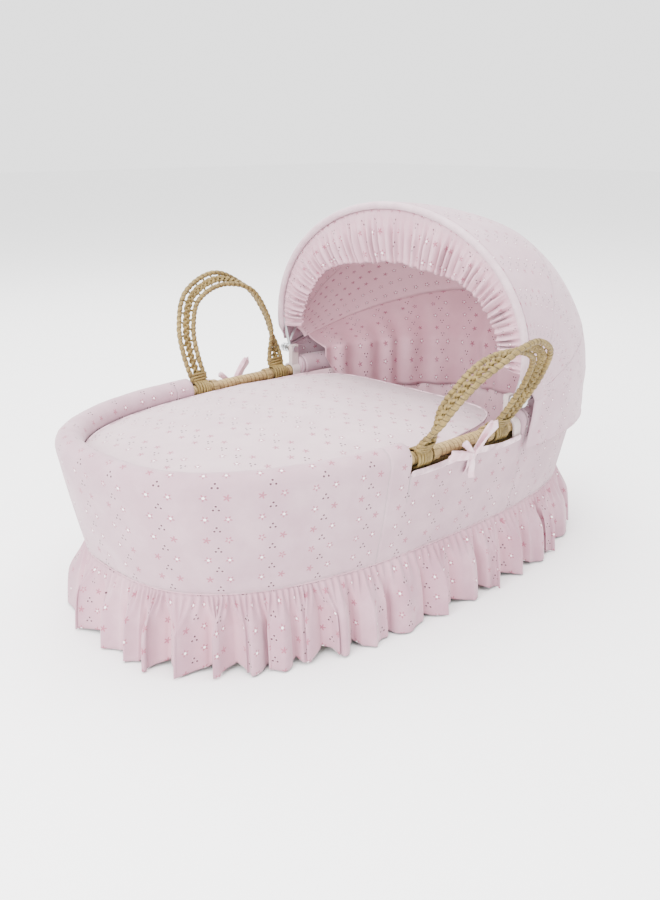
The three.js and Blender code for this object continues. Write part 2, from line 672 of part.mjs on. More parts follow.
function makeBow(name, angle, index) {
  const eye = eyeMiddle(index);
  let bow = solid(strap(new BowLine(angle, eye), roundSection(BOW_WIRE_RADIUS), 36));
  for (const { sign } of SIDES) {
    const disc = cylinderY(EYE_RADIUS, eye - EYE_THICKNESS / 2, eye + EYE_THICKNESS / 2);
    bow = bow.add(placed(disc, sign));
  }
  for (const { sign } of SIDES) {
    const hole = cylinderY(PIN_RADIUS + PIN_CLEARANCE, eye - EYE_THICKNESS, eye + EYE_THICKNESS);
    bow = bow.subtract(placed(hole, sign));
  }
  add(name, bow, WIRE);
}

function makeHoodClip({ name, sign }) {
  // a saddle that drops over the rim rope, with a post that carries the pivot
  const inner = ROPE_RADIUS + CLIP_ROOM;
  const outer = inner + CLIP_THICKNESS;
  const leg = RIM_HEIGHT - linerTop - GAP;
  const clip = saddle(inner, outer, leg, CLIP_LENGTH).translate(0, sign * clipY, RIM_HEIGHT);
  const post = [postOuter, postOuter - POST_THICKNESS].map((y) => sign * y).sort((a, b) => a - b);
  const half = CLIP_LENGTH / 2;
  const upright = block(
    [-half, post[0], RIM_HEIGHT + inner + CLIP_THICKNESS / 3],
    [half, post[1], pivotHeight + EYE_RADIUS]);
  const bore = cylinderY(PIN_RADIUS + PIN_CLEARANCE, 0, stackEnd);
  const body = solid(clip).add(upright).translate([pivotX, 0, 0]).subtract(placed(bore, sign));
  add(`${name}_hood_clip`, body, PLASTIC);
}

function makePivotPin({ name, sign }) {
  const head = PIN_RADIUS + PIN_HEAD_LAP;
  const back = postOuter - POST_THICKNESS - GAP;
  const end = stackEnd + GAP;
  const pin = cylinderY(PIN_RADIUS, back - PIN_HEAD_THICKNESS, end + PIN_END_THICKNESS)
    .add(cylinderY(head, back - PIN_HEAD_THICKNESS, back))
    .add(cylinderY(head, end, end + PIN_END_THICKNESS));
  add(`${name}_pivot_pin`, placed(pin, sign), WIRE);
}

function hoodPanel(uEnd, from, to, inset, thickness, rows = 3) {
  return bent(PANEL_COLUMNS, rows, (across, along, through) => onHood(
    mix(uEnd, 1 - uEnd, across), mix(from, to, along), inset + thickness * (1 - through)));
}

function makeHoodPanels() {
  const panels = [
    ['front', 0, MID_BOW_ANGLE],
    ['mid', MID_BOW_ANGLE, REAR_BOW_ANGLE],
  ];
  const liningInset = COVER_THICKNESS + 2 * BOW_WIRE_RADIUS + 2 * GAP;
  for (const [name, from, to] of panels) {
    const low = from + PANEL_GAP_ANGLE;
    const high = to - PANEL_GAP_ANGLE;
    add(`hood_${name}_cover`, hoodPanel(COVER_TRIM, low, high, 0, COVER_THICKNESS), COTTON);
    const lining = hoodPanel(LINING_TRIM, low, high, liningInset, LINING_THICKNESS);
    add(`hood_${name}_lining`, lining, COTTON_SHADE);
  }
  const low = REAR_BOW_ANGLE + PANEL_GAP_ANGLE;
  const rear = hoodPanel(LINING_TRIM, low, REAR_LINING_ANGLE, liningInset, LINING_THICKNESS);
  add('hood_rear_lining', rear, COTTON_SHADE);
}

function makeRearCover() {
  // from the rear bow down to the pivot's level, then straight down outside the rim to the hem
  const low = REAR_BOW_ANGLE + PANEL_GAP_ANGLE;
  const cover = bent(PANEL_COLUMNS + 8, 7, (across, along, through) => {
    const inset = COVER_THICKNESS * (1 - through);
    const drop = Math.max(0, (along - REAR_COVER_TURN) / (1 - REAR_COVER_TURN));
    const trim = mix(COVER_TRIM, HEM_TRIM, drop);
    const u = mix(trim, 1 - trim, across);
    if (along <= REAR_COVER_TURN) return onHood(u, mix(low, 90, along / REAR_COVER_TURN), inset);
    const height = mix(pivotHeight, hemHeight, drop);
    const offset = hoodOverhang - HOOD_HEM_DRAW * drop - inset;
    return onOutline(mix(-hoodStation, hoodStation, u), offset, height);
  });
  add('hood_rear_cover', cover, COTTON);
}

function makeHoodFront() {
  // the padded ridge in front of the front bow, and the gathered frill inside it
  const ridgeBack = -BOW_WIRE_RADIUS - GAP;
  const ridge = bent(PANEL_COLUMNS, 1, (across, along, through) => onHood(
    mix(COVER_TRIM, 1 - COVER_TRIM, across), 0, RIDGE_DEPTH * (1 - through),
    ridgeBack - RIDGE_WIDTH * (1 - along)));
  add('hood_front_ridge', ridge, COTTON);
  const start = COVER_THICKNESS + 2 * BOW_WIRE_RADIUS + LINING_THICKNESS + 3 * GAP;
  const ruche = bent(PANEL_COLUMNS, 1, (across, along, through) => {
    const width = RUCHE_WIDTH * (1 - RUCHE_TAPER * (2 * across - 1) ** 2);
    const u = mix(LINING_TRIM, 1 - LINING_TRIM, across);
    return onHood(u, 0, start + width * (1 - through), RUCHE_THICKNESS * (along - 0.5));
  });
  add('hood_front_frill', ruche, COTTON);
}

// ---------------------------------------------------------------- assembly
makeBase();
makeWall();
makeRope();
makeLashings();
makeRolls();
makeLinerWall();
makeMattress();
makeCoverlet();
makeSkirtPanels();
makeFrill();
makeBindings();
SIDES.forEach(makeRibbonBow);
makeHandle(SIDES[0], NEAR_HANDLE_LEAN);
makeHandle(SIDES[1], FAR_HANDLE_LEAN);
SIDES.forEach(makeHoodClip);
SIDES.forEach(makePivotPin);
makeBow('hood_front_bow', 0, 0);
makeBow('hood_mid_bow', MID_BOW_ANGLE, 1);
makeBow('hood_rear_bow', REAR_BOW_ANGLE, 2);
makeHoodPanels();
makeRearCover();
makeHoodFront();

export default basket;
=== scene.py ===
"""Looks of a dressed moses basket: cotton, wadding, quilt, hood and plaited palm handles."""

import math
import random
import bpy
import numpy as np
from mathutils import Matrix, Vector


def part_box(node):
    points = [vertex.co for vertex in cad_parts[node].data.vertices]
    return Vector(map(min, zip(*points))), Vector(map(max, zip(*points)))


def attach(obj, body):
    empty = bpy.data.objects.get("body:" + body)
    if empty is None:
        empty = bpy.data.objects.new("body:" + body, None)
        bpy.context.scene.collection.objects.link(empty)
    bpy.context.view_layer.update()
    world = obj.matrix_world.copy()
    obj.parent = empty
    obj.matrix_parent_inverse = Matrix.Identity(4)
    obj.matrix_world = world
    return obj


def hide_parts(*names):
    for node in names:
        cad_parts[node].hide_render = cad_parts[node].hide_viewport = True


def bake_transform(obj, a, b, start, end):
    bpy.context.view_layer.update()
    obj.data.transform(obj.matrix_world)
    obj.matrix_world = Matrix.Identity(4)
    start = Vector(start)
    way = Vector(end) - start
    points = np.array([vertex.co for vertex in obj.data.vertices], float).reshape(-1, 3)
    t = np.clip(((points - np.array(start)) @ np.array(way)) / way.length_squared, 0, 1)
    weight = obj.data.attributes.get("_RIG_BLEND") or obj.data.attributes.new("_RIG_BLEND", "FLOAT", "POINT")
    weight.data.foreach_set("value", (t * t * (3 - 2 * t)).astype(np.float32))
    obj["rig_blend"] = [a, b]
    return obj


bl_info = {
    "name": "Dressed Moses Basket",
    "version": (1, 0, 0),
    "blender": (4, 5, 0),
    "location": "View3D > Sidebar > Moses Basket",
    "description": "Builds the cotton, wadding and plaited palm of a moses basket round its CAD frame",
    "category": "Object",
}

import bmesh
import bpy
from bpy.props import FloatProperty, FloatVectorProperty, IntProperty, PointerProperty
from mathutils import Vector, noise

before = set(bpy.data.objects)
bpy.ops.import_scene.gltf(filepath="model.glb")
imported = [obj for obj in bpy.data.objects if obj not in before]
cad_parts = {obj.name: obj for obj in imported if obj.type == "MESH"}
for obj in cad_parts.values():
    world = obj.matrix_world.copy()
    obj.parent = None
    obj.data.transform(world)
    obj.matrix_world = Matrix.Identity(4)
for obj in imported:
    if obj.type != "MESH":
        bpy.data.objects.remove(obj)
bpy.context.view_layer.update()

# sizes shared with the frame, in metres
RIM_HALF_LENGTH, RIM_HALF_WIDTH, RIM_SQUARENESS = 0.400, 0.2248, 2.65
RIM_HEIGHT, WALL_FLARE, WALL_THICKNESS = 0.226, 0.026, 0.008
ROLL_HEIGHT, ROLL_RADIUS = 0.231, 0.017
SEAM_HEIGHT = 0.096
OPENING = (-0.118, 0.105)
SIDE_SEAMS = (-0.150, 0.112)
OPENING_TOP = 0.214
PIVOT_X, PIVOT_Z = 0.096, 0.262
HOOD_HALF_WIDTH, BOW_RISE, BOW_ARC = 0.2486, 0.246, 0.1917
HOOD_REACH, PROFILE_DROP, PROFILE_POWER = 0.330, 0.050, 2.2
HOOD_OVERHANG, HEM_HEIGHT, HEM_DRAW = 0.026, 0.192, 0.003
MID_BOW, REAR_BOW = 37.0, 74.0
HANDLE_MIDDLE_X, HANDLE_SPAN, HANDLE_BULGE, HANDLE_TOP = -0.013, 0.077, 0.082, 0.164
HANDLE_LEAN = {"near": 33.0, "far": 17.0}
SIDES = {"near": -1, "far": 1}
UP, ALONG = Vector((0, 0, 1)), Vector((1, 0, 0))
FULL_TURN = 2 * math.pi


def mix(a, b, share):
    return a + (b - a) * share


def smooth(low, high, value):
    t = min(1.0, max(0.0, (value - low) / (high - low)))
    return t * t * (3 - 2 * t)


# ------------------------------------------------------------------ the basket's outline
class Outline:
    """The rim's superellipse, walked by arc length from the head's tip by way of the far side."""

    STEPS = 4800

    def __init__(self):
        power = 2 / RIM_SQUARENESS
        fine = []
        for i in range(12001):
            c, s = math.cos(FULL_TURN * i / 12000), math.sin(FULL_TURN * i / 12000)
            fine.append((math.copysign(abs(c) ** power, c) * RIM_HALF_LENGTH,
                         math.copysign(abs(s) ** power, s) * RIM_HALF_WIDTH))
        walked = [0.0]
        for a, b in zip(fine, fine[1:]):
            walked.append(walked[-1] + math.dist(a, b))
        self.length = walked[-1]
        self.points, at = [], 0
        for i in range(self.STEPS):
            want = self.length * i / self.STEPS
            while walked[at + 1] < want:
                at += 1
            share = (want - walked[at]) / (walked[at + 1] - walked[at])
            (x0, y0), (x1, y1) = fine[at], fine[at + 1]
            self.points.append((mix(x0, x1, share), mix(y0, y1, share)))
        self.outward = []
        for i in range(self.STEPS):
            a, b = self.points[i - 3], self.points[(i + 3) % self.STEPS]
            reach = math.dist(a, b)
            self.outward.append(((b[1] - a[1]) / reach, (a[0] - b[0]) / reach))

    def at(self, station, offset, height):
        """The point at a station, moved outward by offset."""
        place = (station % 1.0) * self.STEPS
        i, share = int(place) % self.STEPS, place % 1.0
        (x0, y0), (x1, y1) = self.points[i], self.points[(i + 1) % self.STEPS]
        (nx0, ny0), (nx1, ny1) = self.outward[i], self.outward[(i + 1) % self.STEPS]
        return Vector((mix(x0, x1, share) + mix(nx0, nx1, share) * offset,
                       mix(y0, y1, share) + mix(ny0, ny1, share) * offset, height))

    def out(self, station):
        """The level heading square to the rim, away from the basket."""
        return (self.at(station, 1, 0) - self.at(station, 0, 0)).normalized()

    def station(self, x, side):
        """The station with that x, on the far side (1) or the near side (-1)."""
        low, high = 0.0, 0.5
        for _ in range(40):
            middle = (low + high) / 2
            if self.at(middle, 0, 0).x > x:
                low = middle
            else:
                high = middle
        return low if side > 0 else 1 - low


RIM = Outline()


def wall_offset(height):
    """How far the middle of the woven wall stands outside the rim's outline."""
    return -WALL_FLARE * (1 - height / RIM_HEIGHT)


SEAM_OFFSET = wall_offset(SEAM_HEIGHT) + WALL_THICKNESS / 2 + 0.002

# ------------------------------------------------------------------ the hood's surface
ARC_MIDDLE = BOW_RISE - BOW_ARC
FOOT_TURN = math.pi - math.acos(ARC_MIDDLE / BOW_ARC)
HOOD_STATION = RIM.station(PIVOT_X, 1)
_reach = {}


def hood_reach(angle):
    """Distance from the pivot to the hood's side profile, degrees back from upright."""
    key = round(angle, 4)
    if key not in _reach:
        sin, cos = math.sin(math.radians(angle)), math.cos(math.radians(angle))
        height = BOW_RISE + PROFILE_DROP
        length = HOOD_REACH / (1 - (PROFILE_DROP / height) ** PROFILE_POWER) ** (1 / PROFILE_POWER)
        low, high = 0.0, 2 * HOOD_REACH
        for _ in range(36):
            r = (low + high) / 2
            along, rise = abs(r * sin / length), abs((PROFILE_DROP + r * cos) / height)
            if along ** PROFILE_POWER + rise ** PROFILE_POWER < 1:
                low = r
            else:
                high = r
        _reach[key] = low
    return _reach[key]


def hood_section(u, angle):
    """Place across and distance from the pivot axis, u from the near foot (0) to the far foot (1)."""
    share, turn = angle / 90, FOOT_TURN * (2 * u - 1)
    plan = RIM.at(mix(-HOOD_STATION, HOOD_STATION, u), HOOD_OVERHANG, 0)
    grow = hood_reach(angle) / mix(BOW_RISE, HOOD_REACH, share)
    y = mix(HOOD_HALF_WIDTH * math.sin(turn), plan.y, share)
    r = mix(ARC_MIDDLE + BOW_ARC * math.cos(turn), max(0.0, plan.x - PIVOT_X), share) * grow
    return y, r


def on_hood(u, angle, inset=0.0, behind=0.0):
    """inset is measured inward in a bow's plane, behind is measured square to that plane."""
    y, r = hood_section(u, angle)
    y0, r0 = hood_section(max(0.0, u - 0.001), angle)
    y1, r1 = hood_section(min(1.0, u + 0.001), angle)
    length = math.hypot(y1 - y0, r1 - r0)
    y += (r1 - r0) / length * inset
    r -= (y1 - y0) / length * inset
    sin, cos = math.sin(math.radians(angle)), math.cos(math.radians(angle))
    return Vector((PIVOT_X + r * sin + behind * cos, y, PIVOT_Z + r * cos - behind * sin))


# ------------------------------------------------------------------ meshes
def from_bmesh(name, bm, look):
    for face in bm.faces:
        face.smooth = True
    mesh = bpy.data.meshes.new(name)
    bm.to_mesh(mesh)
    bm.free()
    piece = bpy.data.objects.new(name, mesh)
    bpy.context.scene.collection.objects.link(piece)
    mesh.materials.append(look)
    return piece


def woven_grid(bm, columns, rows, place, measure):
    """A grid whose corners go to place(column, row), with measure(column, row) metres as its UV."""
    layer = bm.loops.layers.uv.verify()
    made = bmesh.ops.create_grid(bm, x_segments=columns, y_segments=rows, size=0.5)["verts"]
    spot = {v: (round((v.co.x + 0.5) * columns), round((v.co.y + 0.5) * rows)) for v in made}
    for face in {f for v in made for f in v.link_faces}:
        for loop in face.loops:
            loop[layer].uv = measure(*spot[loop.vert])
    for v, (column, row) in spot.items():
        v.co = place(column, row)
    return spot


def sheet_of(name, columns, rows, place, measure, look, away=(0, 0, 0.12), thick=0.0012, crease=None):
    """A sheet of cloth that faces away from a point; crease(column, row) is stored as the mask of its painted
    fold shade.
    """
    bm = bmesh.new()
    depth = bm.verts.layers.float.new("crease")
    made = woven_grid(bm, columns, rows, place, measure)
    if crease:
        for v, (column, row) in made.items():
            v[depth] = crease(column, row)
    bmesh.ops.remove_doubles(bm, verts=bm.verts, dist=1e-5)
    bmesh.ops.recalc_face_normals(bm, faces=bm.faces)
    centre = Vector(away)
    if sum(f.normal.dot(f.calc_center_median() - centre) * f.calc_area() for f in bm.faces) < 0:
        bmesh.ops.reverse_faces(bm, faces=bm.faces)
    piece = from_bmesh(name, bm, look)
    if thick:
        wall = piece.modifiers.new("Cloth thickness", "SOLIDIFY")
        wall.thickness, wall.offset = thick, -1
    return piece


def tube_into(bm, centres, radii, sides=8):
    """A tube along centres [(middle, across, upright)], closed or capped, with radii(index, turn)."""
    shift = 0 if (centres[0][0] - centres[-1][0]).length < 1e-6 else 1
    if shift:
        centres = [centres[0], *centres, centres[-1]]
    count = len(centres) - 1
    walked = [0.0]
    for a, b in zip(centres, centres[1:]):
        walked.append(walked[-1] + (b[0] - a[0]).length)

    def place(column, row):
        middle, across, upright = centres[column]
        turn = FULL_TURN * row / sides
        ra, rb = (0.0, 0.0) if shift and column in (0, count) else radii(column - shift, turn)
        return middle + across * (ra * math.cos(turn)) + upright * (rb * math.sin(turn))

    return woven_grid(bm, count, sides, place, lambda column, row: (walked[column], row / sides * 0.02))


def finish_solid(bm):
    bmesh.ops.remove_doubles(bm, verts=bm.verts, dist=1e-6)
    bmesh.ops.recalc_face_normals(bm, faces=bm.faces)


def pad_of(name, stations, rings, look):
    """A stuffed shape from rings, each a function of the station, from its top's middle to its bottom's."""
    bm = bmesh.new()
    count = len(rings) - 1

    def place(column, row):
        return rings[row](column / stations)

    woven_grid(bm, stations, count, place, lambda column, row: (place(column, row).x, place(column, row).y))
    finish_solid(bm)
    return from_bmesh(name, bm, look)


# ------------------------------------------------------------------ shader maths
class Wire:
    """A shader value that takes part in Python sums."""

    def __init__(self, look, socket):
        self.look, self.socket = look, socket

    def _sum(self, operation, *values):
        return self.look.node("ShaderNodeMath", {"operation": operation}, *values)

    def __add__(self, other):
        return self._sum("ADD", self, other)

    __radd__ = __add__

    def __sub__(self, other):
        return self._sum("SUBTRACT", self, other)

    def __rsub__(self, other):
        return self._sum("SUBTRACT", other, self)

    def __mul__(self, other):
        return self._sum("MULTIPLY", self, other)

    __rmul__ = __mul__

    def __truediv__(self, other):
        return self._sum("DIVIDE", self, other)

    def fraction(self):
        return self._sum("FRACT", self)

    def floor(self):
        return self._sum("FLOOR", self)

    def sine(self):
        return self._sum("SINE", self)

    def size(self):
        return self._sum("ABSOLUTE", self)

    def least(self, other):
        return self._sum("MINIMUM", self, other)

    def most(self, other):
        return self._sum("MAXIMUM", self, other)

    def angle_to(self, other):
        return self._sum("ARCTAN2", self, other)

    def root(self):
        return self._sum("SQRT", self)

    def step(self, low, high):
        """0 below low, 1 above high, smooth between them."""
        settings = {"interpolation_type": "SMOOTHSTEP", "clamp": True}
        return self.look.node("ShaderNodeMapRange", settings, self, min(low, high), max(low, high),
                              0.0 if low < high else 1.0, 1.0 if low < high else 0.0)


class Finish:
    """A material with one Principled shader, and the nodes that feed it."""

    def __init__(self, name, **constants):
        self.material = bpy.data.materials.new(name)
        self.material.use_nodes = True
        self.tree = self.material.node_tree
        self.shader = self.tree.nodes["Principled BSDF"]
        for key, value in constants.items():
            self.shader.inputs[key.replace("_", " ")].default_value = value

    def node(self, kind, settings=None, *values, output=0, **named):
        made = self.tree.nodes.new(kind)
        for key, value in (settings or {}).items():
            setattr(made, key, value)
        pairs = [(made.inputs[i], v) for i, v in enumerate(values)]
        pairs += [(made.inputs[k.replace("_", " ")], v) for k, v in named.items()]
        for socket, value in pairs:
            if value is None:
                continue
            if isinstance(value, Wire):
                self.tree.links.new(value.socket, socket)
            else:
                socket.default_value = value
        return Wire(self, made.outputs[output])

    def parts(self, vector):
        made = self.node("ShaderNodeSeparateXYZ", None, vector)
        outputs = made.socket.node.outputs
        return Wire(self, outputs[0]), Wire(self, outputs[1]), Wire(self, outputs[2])

    def uv(self):
        return self.node("ShaderNodeTexCoord", output=2)

    def place(self):
        return self.node("ShaderNodeTexCoord", output=3)

    def stretch(self, vector, scale):
        return self.node("ShaderNodeMapping", None, vector, Scale=scale)

    def cloud(self, vector, scale, detail=3.0, rough=0.5):
        settings = {"Vector": vector, "Scale": scale, "Detail": detail, "Roughness": rough}
        return self.node("ShaderNodeTexNoise", None, **settings)

    def blend(self, share, a, b):
        """From colour a to colour b."""
        made = self.tree.nodes.new("ShaderNodeMix")
        made.data_type = "RGBA"
        for socket, value in ((made.inputs[0], share), (made.inputs[6], a), (made.inputs[7], b)):
            if isinstance(value, Wire):
                self.tree.links.new(value.socket, socket)
            else:
                socket.default_value = value
        return Wire(self, made.outputs[2])

    def feed(self, **links):
        for key, wire in links.items():
            self.tree.links.new(wire.socket, self.shader.inputs[key.replace("_", " ")])

    def bump(self, height, strength=0.4, distance=0.001):
        settings = {"Strength": strength, "Distance": distance, "Height": height}
        self.feed(Normal=self.node("ShaderNodeBump", None, **settings))


def rgba(colour, by=1.0):
    return tuple(min(1.0, c * by) for c in colour[:3]) + (1.0,)


TOP_EYELET, RIGHT_EYELET, LEFT_EYELET = 0.0031, (0.0030, -0.0018), (-0.0029, -0.0016)
EYELET_DRIFT = 0.0012
HOLE_EDGE, STITCH_EDGE = (0.00155, 0.00100), (0.0029, 0.0018)
STAR_COLUMNS, CLOSE_STAR_COLUMNS = (0.20, 0.80), (0.15, 0.5, 0.85)
STAR_REACH, STAR_HEART = 0.0022, 0.0012
# colour of the painted highlights on the stars
PAINTED_GLINT_WHITE = (1.0, 0.97, 0.98, 1.0)
THREAD_SCALE, CRUMPLE_SCALE, DRAPE_SCALE = 1400.0, 26.0, 7.0


def eyelet_cotton(name, colour, shade, on_top=False, stars_only=False):
    """Pale cotton with embroidered sprigs: triads of punched eyelets in columns, small stars between them."""
    settings = bpy.context.scene.moses_basket
    f = Finish(name, Roughness=0.78, Sheen_Weight=0.25, Sheen_Roughness=0.45, Specular_IOR_Level=0.3)
    cloth = f.place() if on_top else f.uv()
    along, up, _ = f.parts(cloth)
    column, row = settings.sprig_column, settings.sprig_row

    def cell(shift_a, shift_b):
        a = along / column + shift_a
        b = up / row + shift_b
        x, y = (a.fraction() - 0.5) * column, (b.fraction() - 0.5) * row
        key = f.node("ShaderNodeCombineXYZ", None, a.floor(), b.floor(), 0.0)
        chance = f.node("ShaderNodeTexWhiteNoise", {"noise_dimensions": "3D"}, Vector=key)
        return x, y, chance

    def gap(x, y, dx, dy):
        px, py = x - dx, y - dy
        return (px * px + py * py).root()

    x, y, chance = cell(0.0, 0.0)
    drift = (chance - 0.5) * EYELET_DRIFT
    nearest = gap(x, y, drift, TOP_EYELET).least(gap(x, y, *RIGHT_EYELET)).least(gap(x, y, *LEFT_EYELET))
    hole = nearest.step(*HOLE_EDGE)
    stitched = nearest.step(*STITCH_EDGE) - hole
    if stars_only:
        hole, stitched = hole * 0.0, stitched * 0.0
    star, glint = None, None
    for shift in CLOSE_STAR_COLUMNS if stars_only else STAR_COLUMNS:
        x, y, chance = cell(shift, 0.5)
        far = (x * x + y * y).root()
        petals = (y.angle_to(x) * 5.0 + chance * 6.0).sine() * 0.5 + 0.5
        one = (far - petals * STAR_REACH * settings.sprig_size).step(STAR_HEART * settings.sprig_size, 0.0003)
        # painted highlight: a small white glint on some stars
        shine = (far - 0.0011).step(0.0009, 0.0001) * chance.step(0.35, 0.6)
        star = one if star is None else star.most(one)
        glint = shine if glint is None else glint.most(shine)
    thread = f.cloud(cloth, THREAD_SCALE, 2.0)
    crumple = f.cloud(f.place(), CRUMPLE_SCALE, 4.0, 0.55)
    soft = f.cloud(f.place(), DRAPE_SCALE, 2.0)
    base = f.blend(crumple.step(0.35, 0.75) * 0.55 + soft.step(0.4, 0.7) * 0.35, rgba(shade), rgba(colour))
    base = f.blend((thread - 0.5).size() * 0.35, base, rgba(shade, 0.93))
    # painted shade: the stored crease mask darkens fold valleys and gathers toward a deep pink
    crease = f.node("ShaderNodeAttribute", {"attribute_name": "crease"}, output=2)
    base = f.blend(crease * 0.75, base, rgba(settings.painted_fold_shade))
    base = f.blend(star * 0.88, base, rgba(settings.sprig_colour))
    base = f.blend(stitched * 0.55, base, rgba(colour, 1.04))
    # painted highlight: the glints are blended to near white
    base = f.blend(glint * 0.9, base, PAINTED_GLINT_WHITE)
    # painted shadow: the eyelet holes are filled with near black, the shade seen through them
    base = f.blend(hole * 0.92, base, rgba(settings.painted_hole_shadow))
    f.feed(Base_Color=base, Roughness=0.82 - glint * 0.5 - star * 0.2)
    f.bump(thread * 0.14 + crumple * 1.3 + star * 0.35 + stitched * 0.3 - hole * 0.9, 0.6, 0.0014)
    return f.material


def plain_cotton(name, colour, shade):
    f = Finish(name, Roughness=0.7, Sheen_Weight=0.3, Sheen_Roughness=0.4)
    cloth = f.uv()
    rib = f.cloud(f.stretch(cloth, (900.0, 2400.0, 1.0)), 1.0, 2.0)
    crumple = f.cloud(f.place(), 60.0, 3.0)
    f.feed(Base_Color=f.blend(crumple.step(0.3, 0.7), rgba(shade), rgba(colour)), Roughness=0.62 + rib * 0.25)
    f.bump(rib * 0.3 + crumple * 0.4, 0.45, 0.0008)
    return f.material


def palm_leaf(name, colour, dark, pitch=0.0):
    """Dry palm leaf: long fibres, pale and brown streaks, and, where it is whipped, painted shade in the
    grooves between the turns.
    """
    f = Finish(name, Roughness=0.6, Specular_IOR_Level=0.4)
    cloth = f.uv()
    fibre = f.cloud(f.stretch(cloth, (60.0, 3600.0, 1.0)), 1.0, 4.0, 0.6)
    streak = f.cloud(f.place(), 150.0, 3.0, 0.6)
    slow = f.cloud(f.place(), 24.0, 2.0)
    tone = f.blend(fibre.step(0.3, 0.66), rgba(dark), rgba(colour))
    tone = f.blend(streak.step(0.45, 0.75) * 0.5, tone, rgba(dark, 0.6))
    tone = f.blend(slow.step(0.45, 0.65) * 0.35, tone, rgba(colour, 1.2))
    # painted shade: darker in the grooves between the turns of the whipping
    if pitch:
        along, around, _ = f.parts(cloth)
        turn = (along / pitch + around / 0.02).fraction() - 0.5
        tone = f.blend(turn.size().step(0.36, 0.49) * 0.85, tone, rgba(dark, 0.35))
    f.feed(Base_Color=tone, Roughness=0.45 + fibre * 0.35)
    f.bump(fibre * 0.6 + streak * 0.4, 0.8, 0.0012)
    return f.material


def plaited_palm(name, colour, dark):
    """Flat plaited leaf, for the basket's wall and base."""
    f = Finish(name, Roughness=0.7)
    x, y, z = f.parts(f.place())
    around, up = (x + y) * 95.0, z * 95.0
    odd = ((around * 0.5).floor() + (up * 0.5).floor()) * 0.5
    over = (odd.fraction() - 0.25).step(-0.1, 0.1)
    strand = (around * 3.1416).sine().size() * over + (up * 3.1416).sine().size() * (1 - over)
    fibre = f.cloud(f.place(), 420.0, 3.0)
    tone = f.blend(strand.step(0.1, 0.6), rgba(dark, 0.7), f.blend(fibre, rgba(dark), rgba(colour)))
    f.feed(Base_Color=tone, Roughness=0.55 + fibre * 0.3)
    f.bump(strand + fibre * 0.2, 0.7, 0.0015)
    return f.material


def quilted_ticking(name, colour):
    f = Finish(name, Roughness=0.85, Sheen_Weight=0.2)
    x, y, _ = f.parts(f.place())
    one = ((x + y) * 28.0).fraction() - 0.5
    two = ((x - y) * 28.0).fraction() - 0.5
    seam = one.size().step(0.5, 0.40).least(two.size().step(0.5, 0.40))
    weave = f.cloud(f.place(), 900.0, 2.0)
    f.feed(Base_Color=f.blend(seam, rgba(colour, 0.82), rgba(colour)), Roughness=0.75 + weave * 0.2)
    f.bump(seam + weave * 0.1, 0.6, 0.003)
    return f.material


def moulded_plastic(name, colour):
    f = Finish(name, Roughness=0.4, Specular_IOR_Level=0.5)
    grain = f.cloud(f.place(), 1800.0, 3.0)
    worn = f.cloud(f.place(), 90.0, 3.0)
    tone = f.blend(worn.step(0.4, 0.8) * 0.4, rgba(colour), rgba(colour, 0.86))
    f.feed(Base_Color=tone, Roughness=0.34 + grain * 0.2)
    f.bump(grain, 0.15, 0.0003)
    return f.material


def plated_wire(name, colour):
    f = Finish(name, Metallic=1.0)
    drawn = f.cloud(f.stretch(f.place(), (300.0, 1500.0, 1500.0)), 1.0, 2.0)
    f.feed(Base_Color=f.blend(drawn, rgba(colour, 0.8), rgba(colour)), Roughness=0.24 + drawn * 0.2)
    f.bump(drawn, 0.1, 0.0002)
    return f.material


# ------------------------------------------------------------------ settings
def tint(name, about, colour):
    facts = {"name": name, "description": about, "default": colour}
    return FloatVectorProperty(**facts, size=3, min=0, max=1, subtype="COLOR")


def number_of(name, about, value, low, high):
    return IntProperty(name=name, description=about, default=value, min=low, max=high)


def measure_of(name, about, value, low=0.0001, high=1.0):
    return FloatProperty(name=name, description=about, default=value, min=low, max=high, unit="LENGTH")


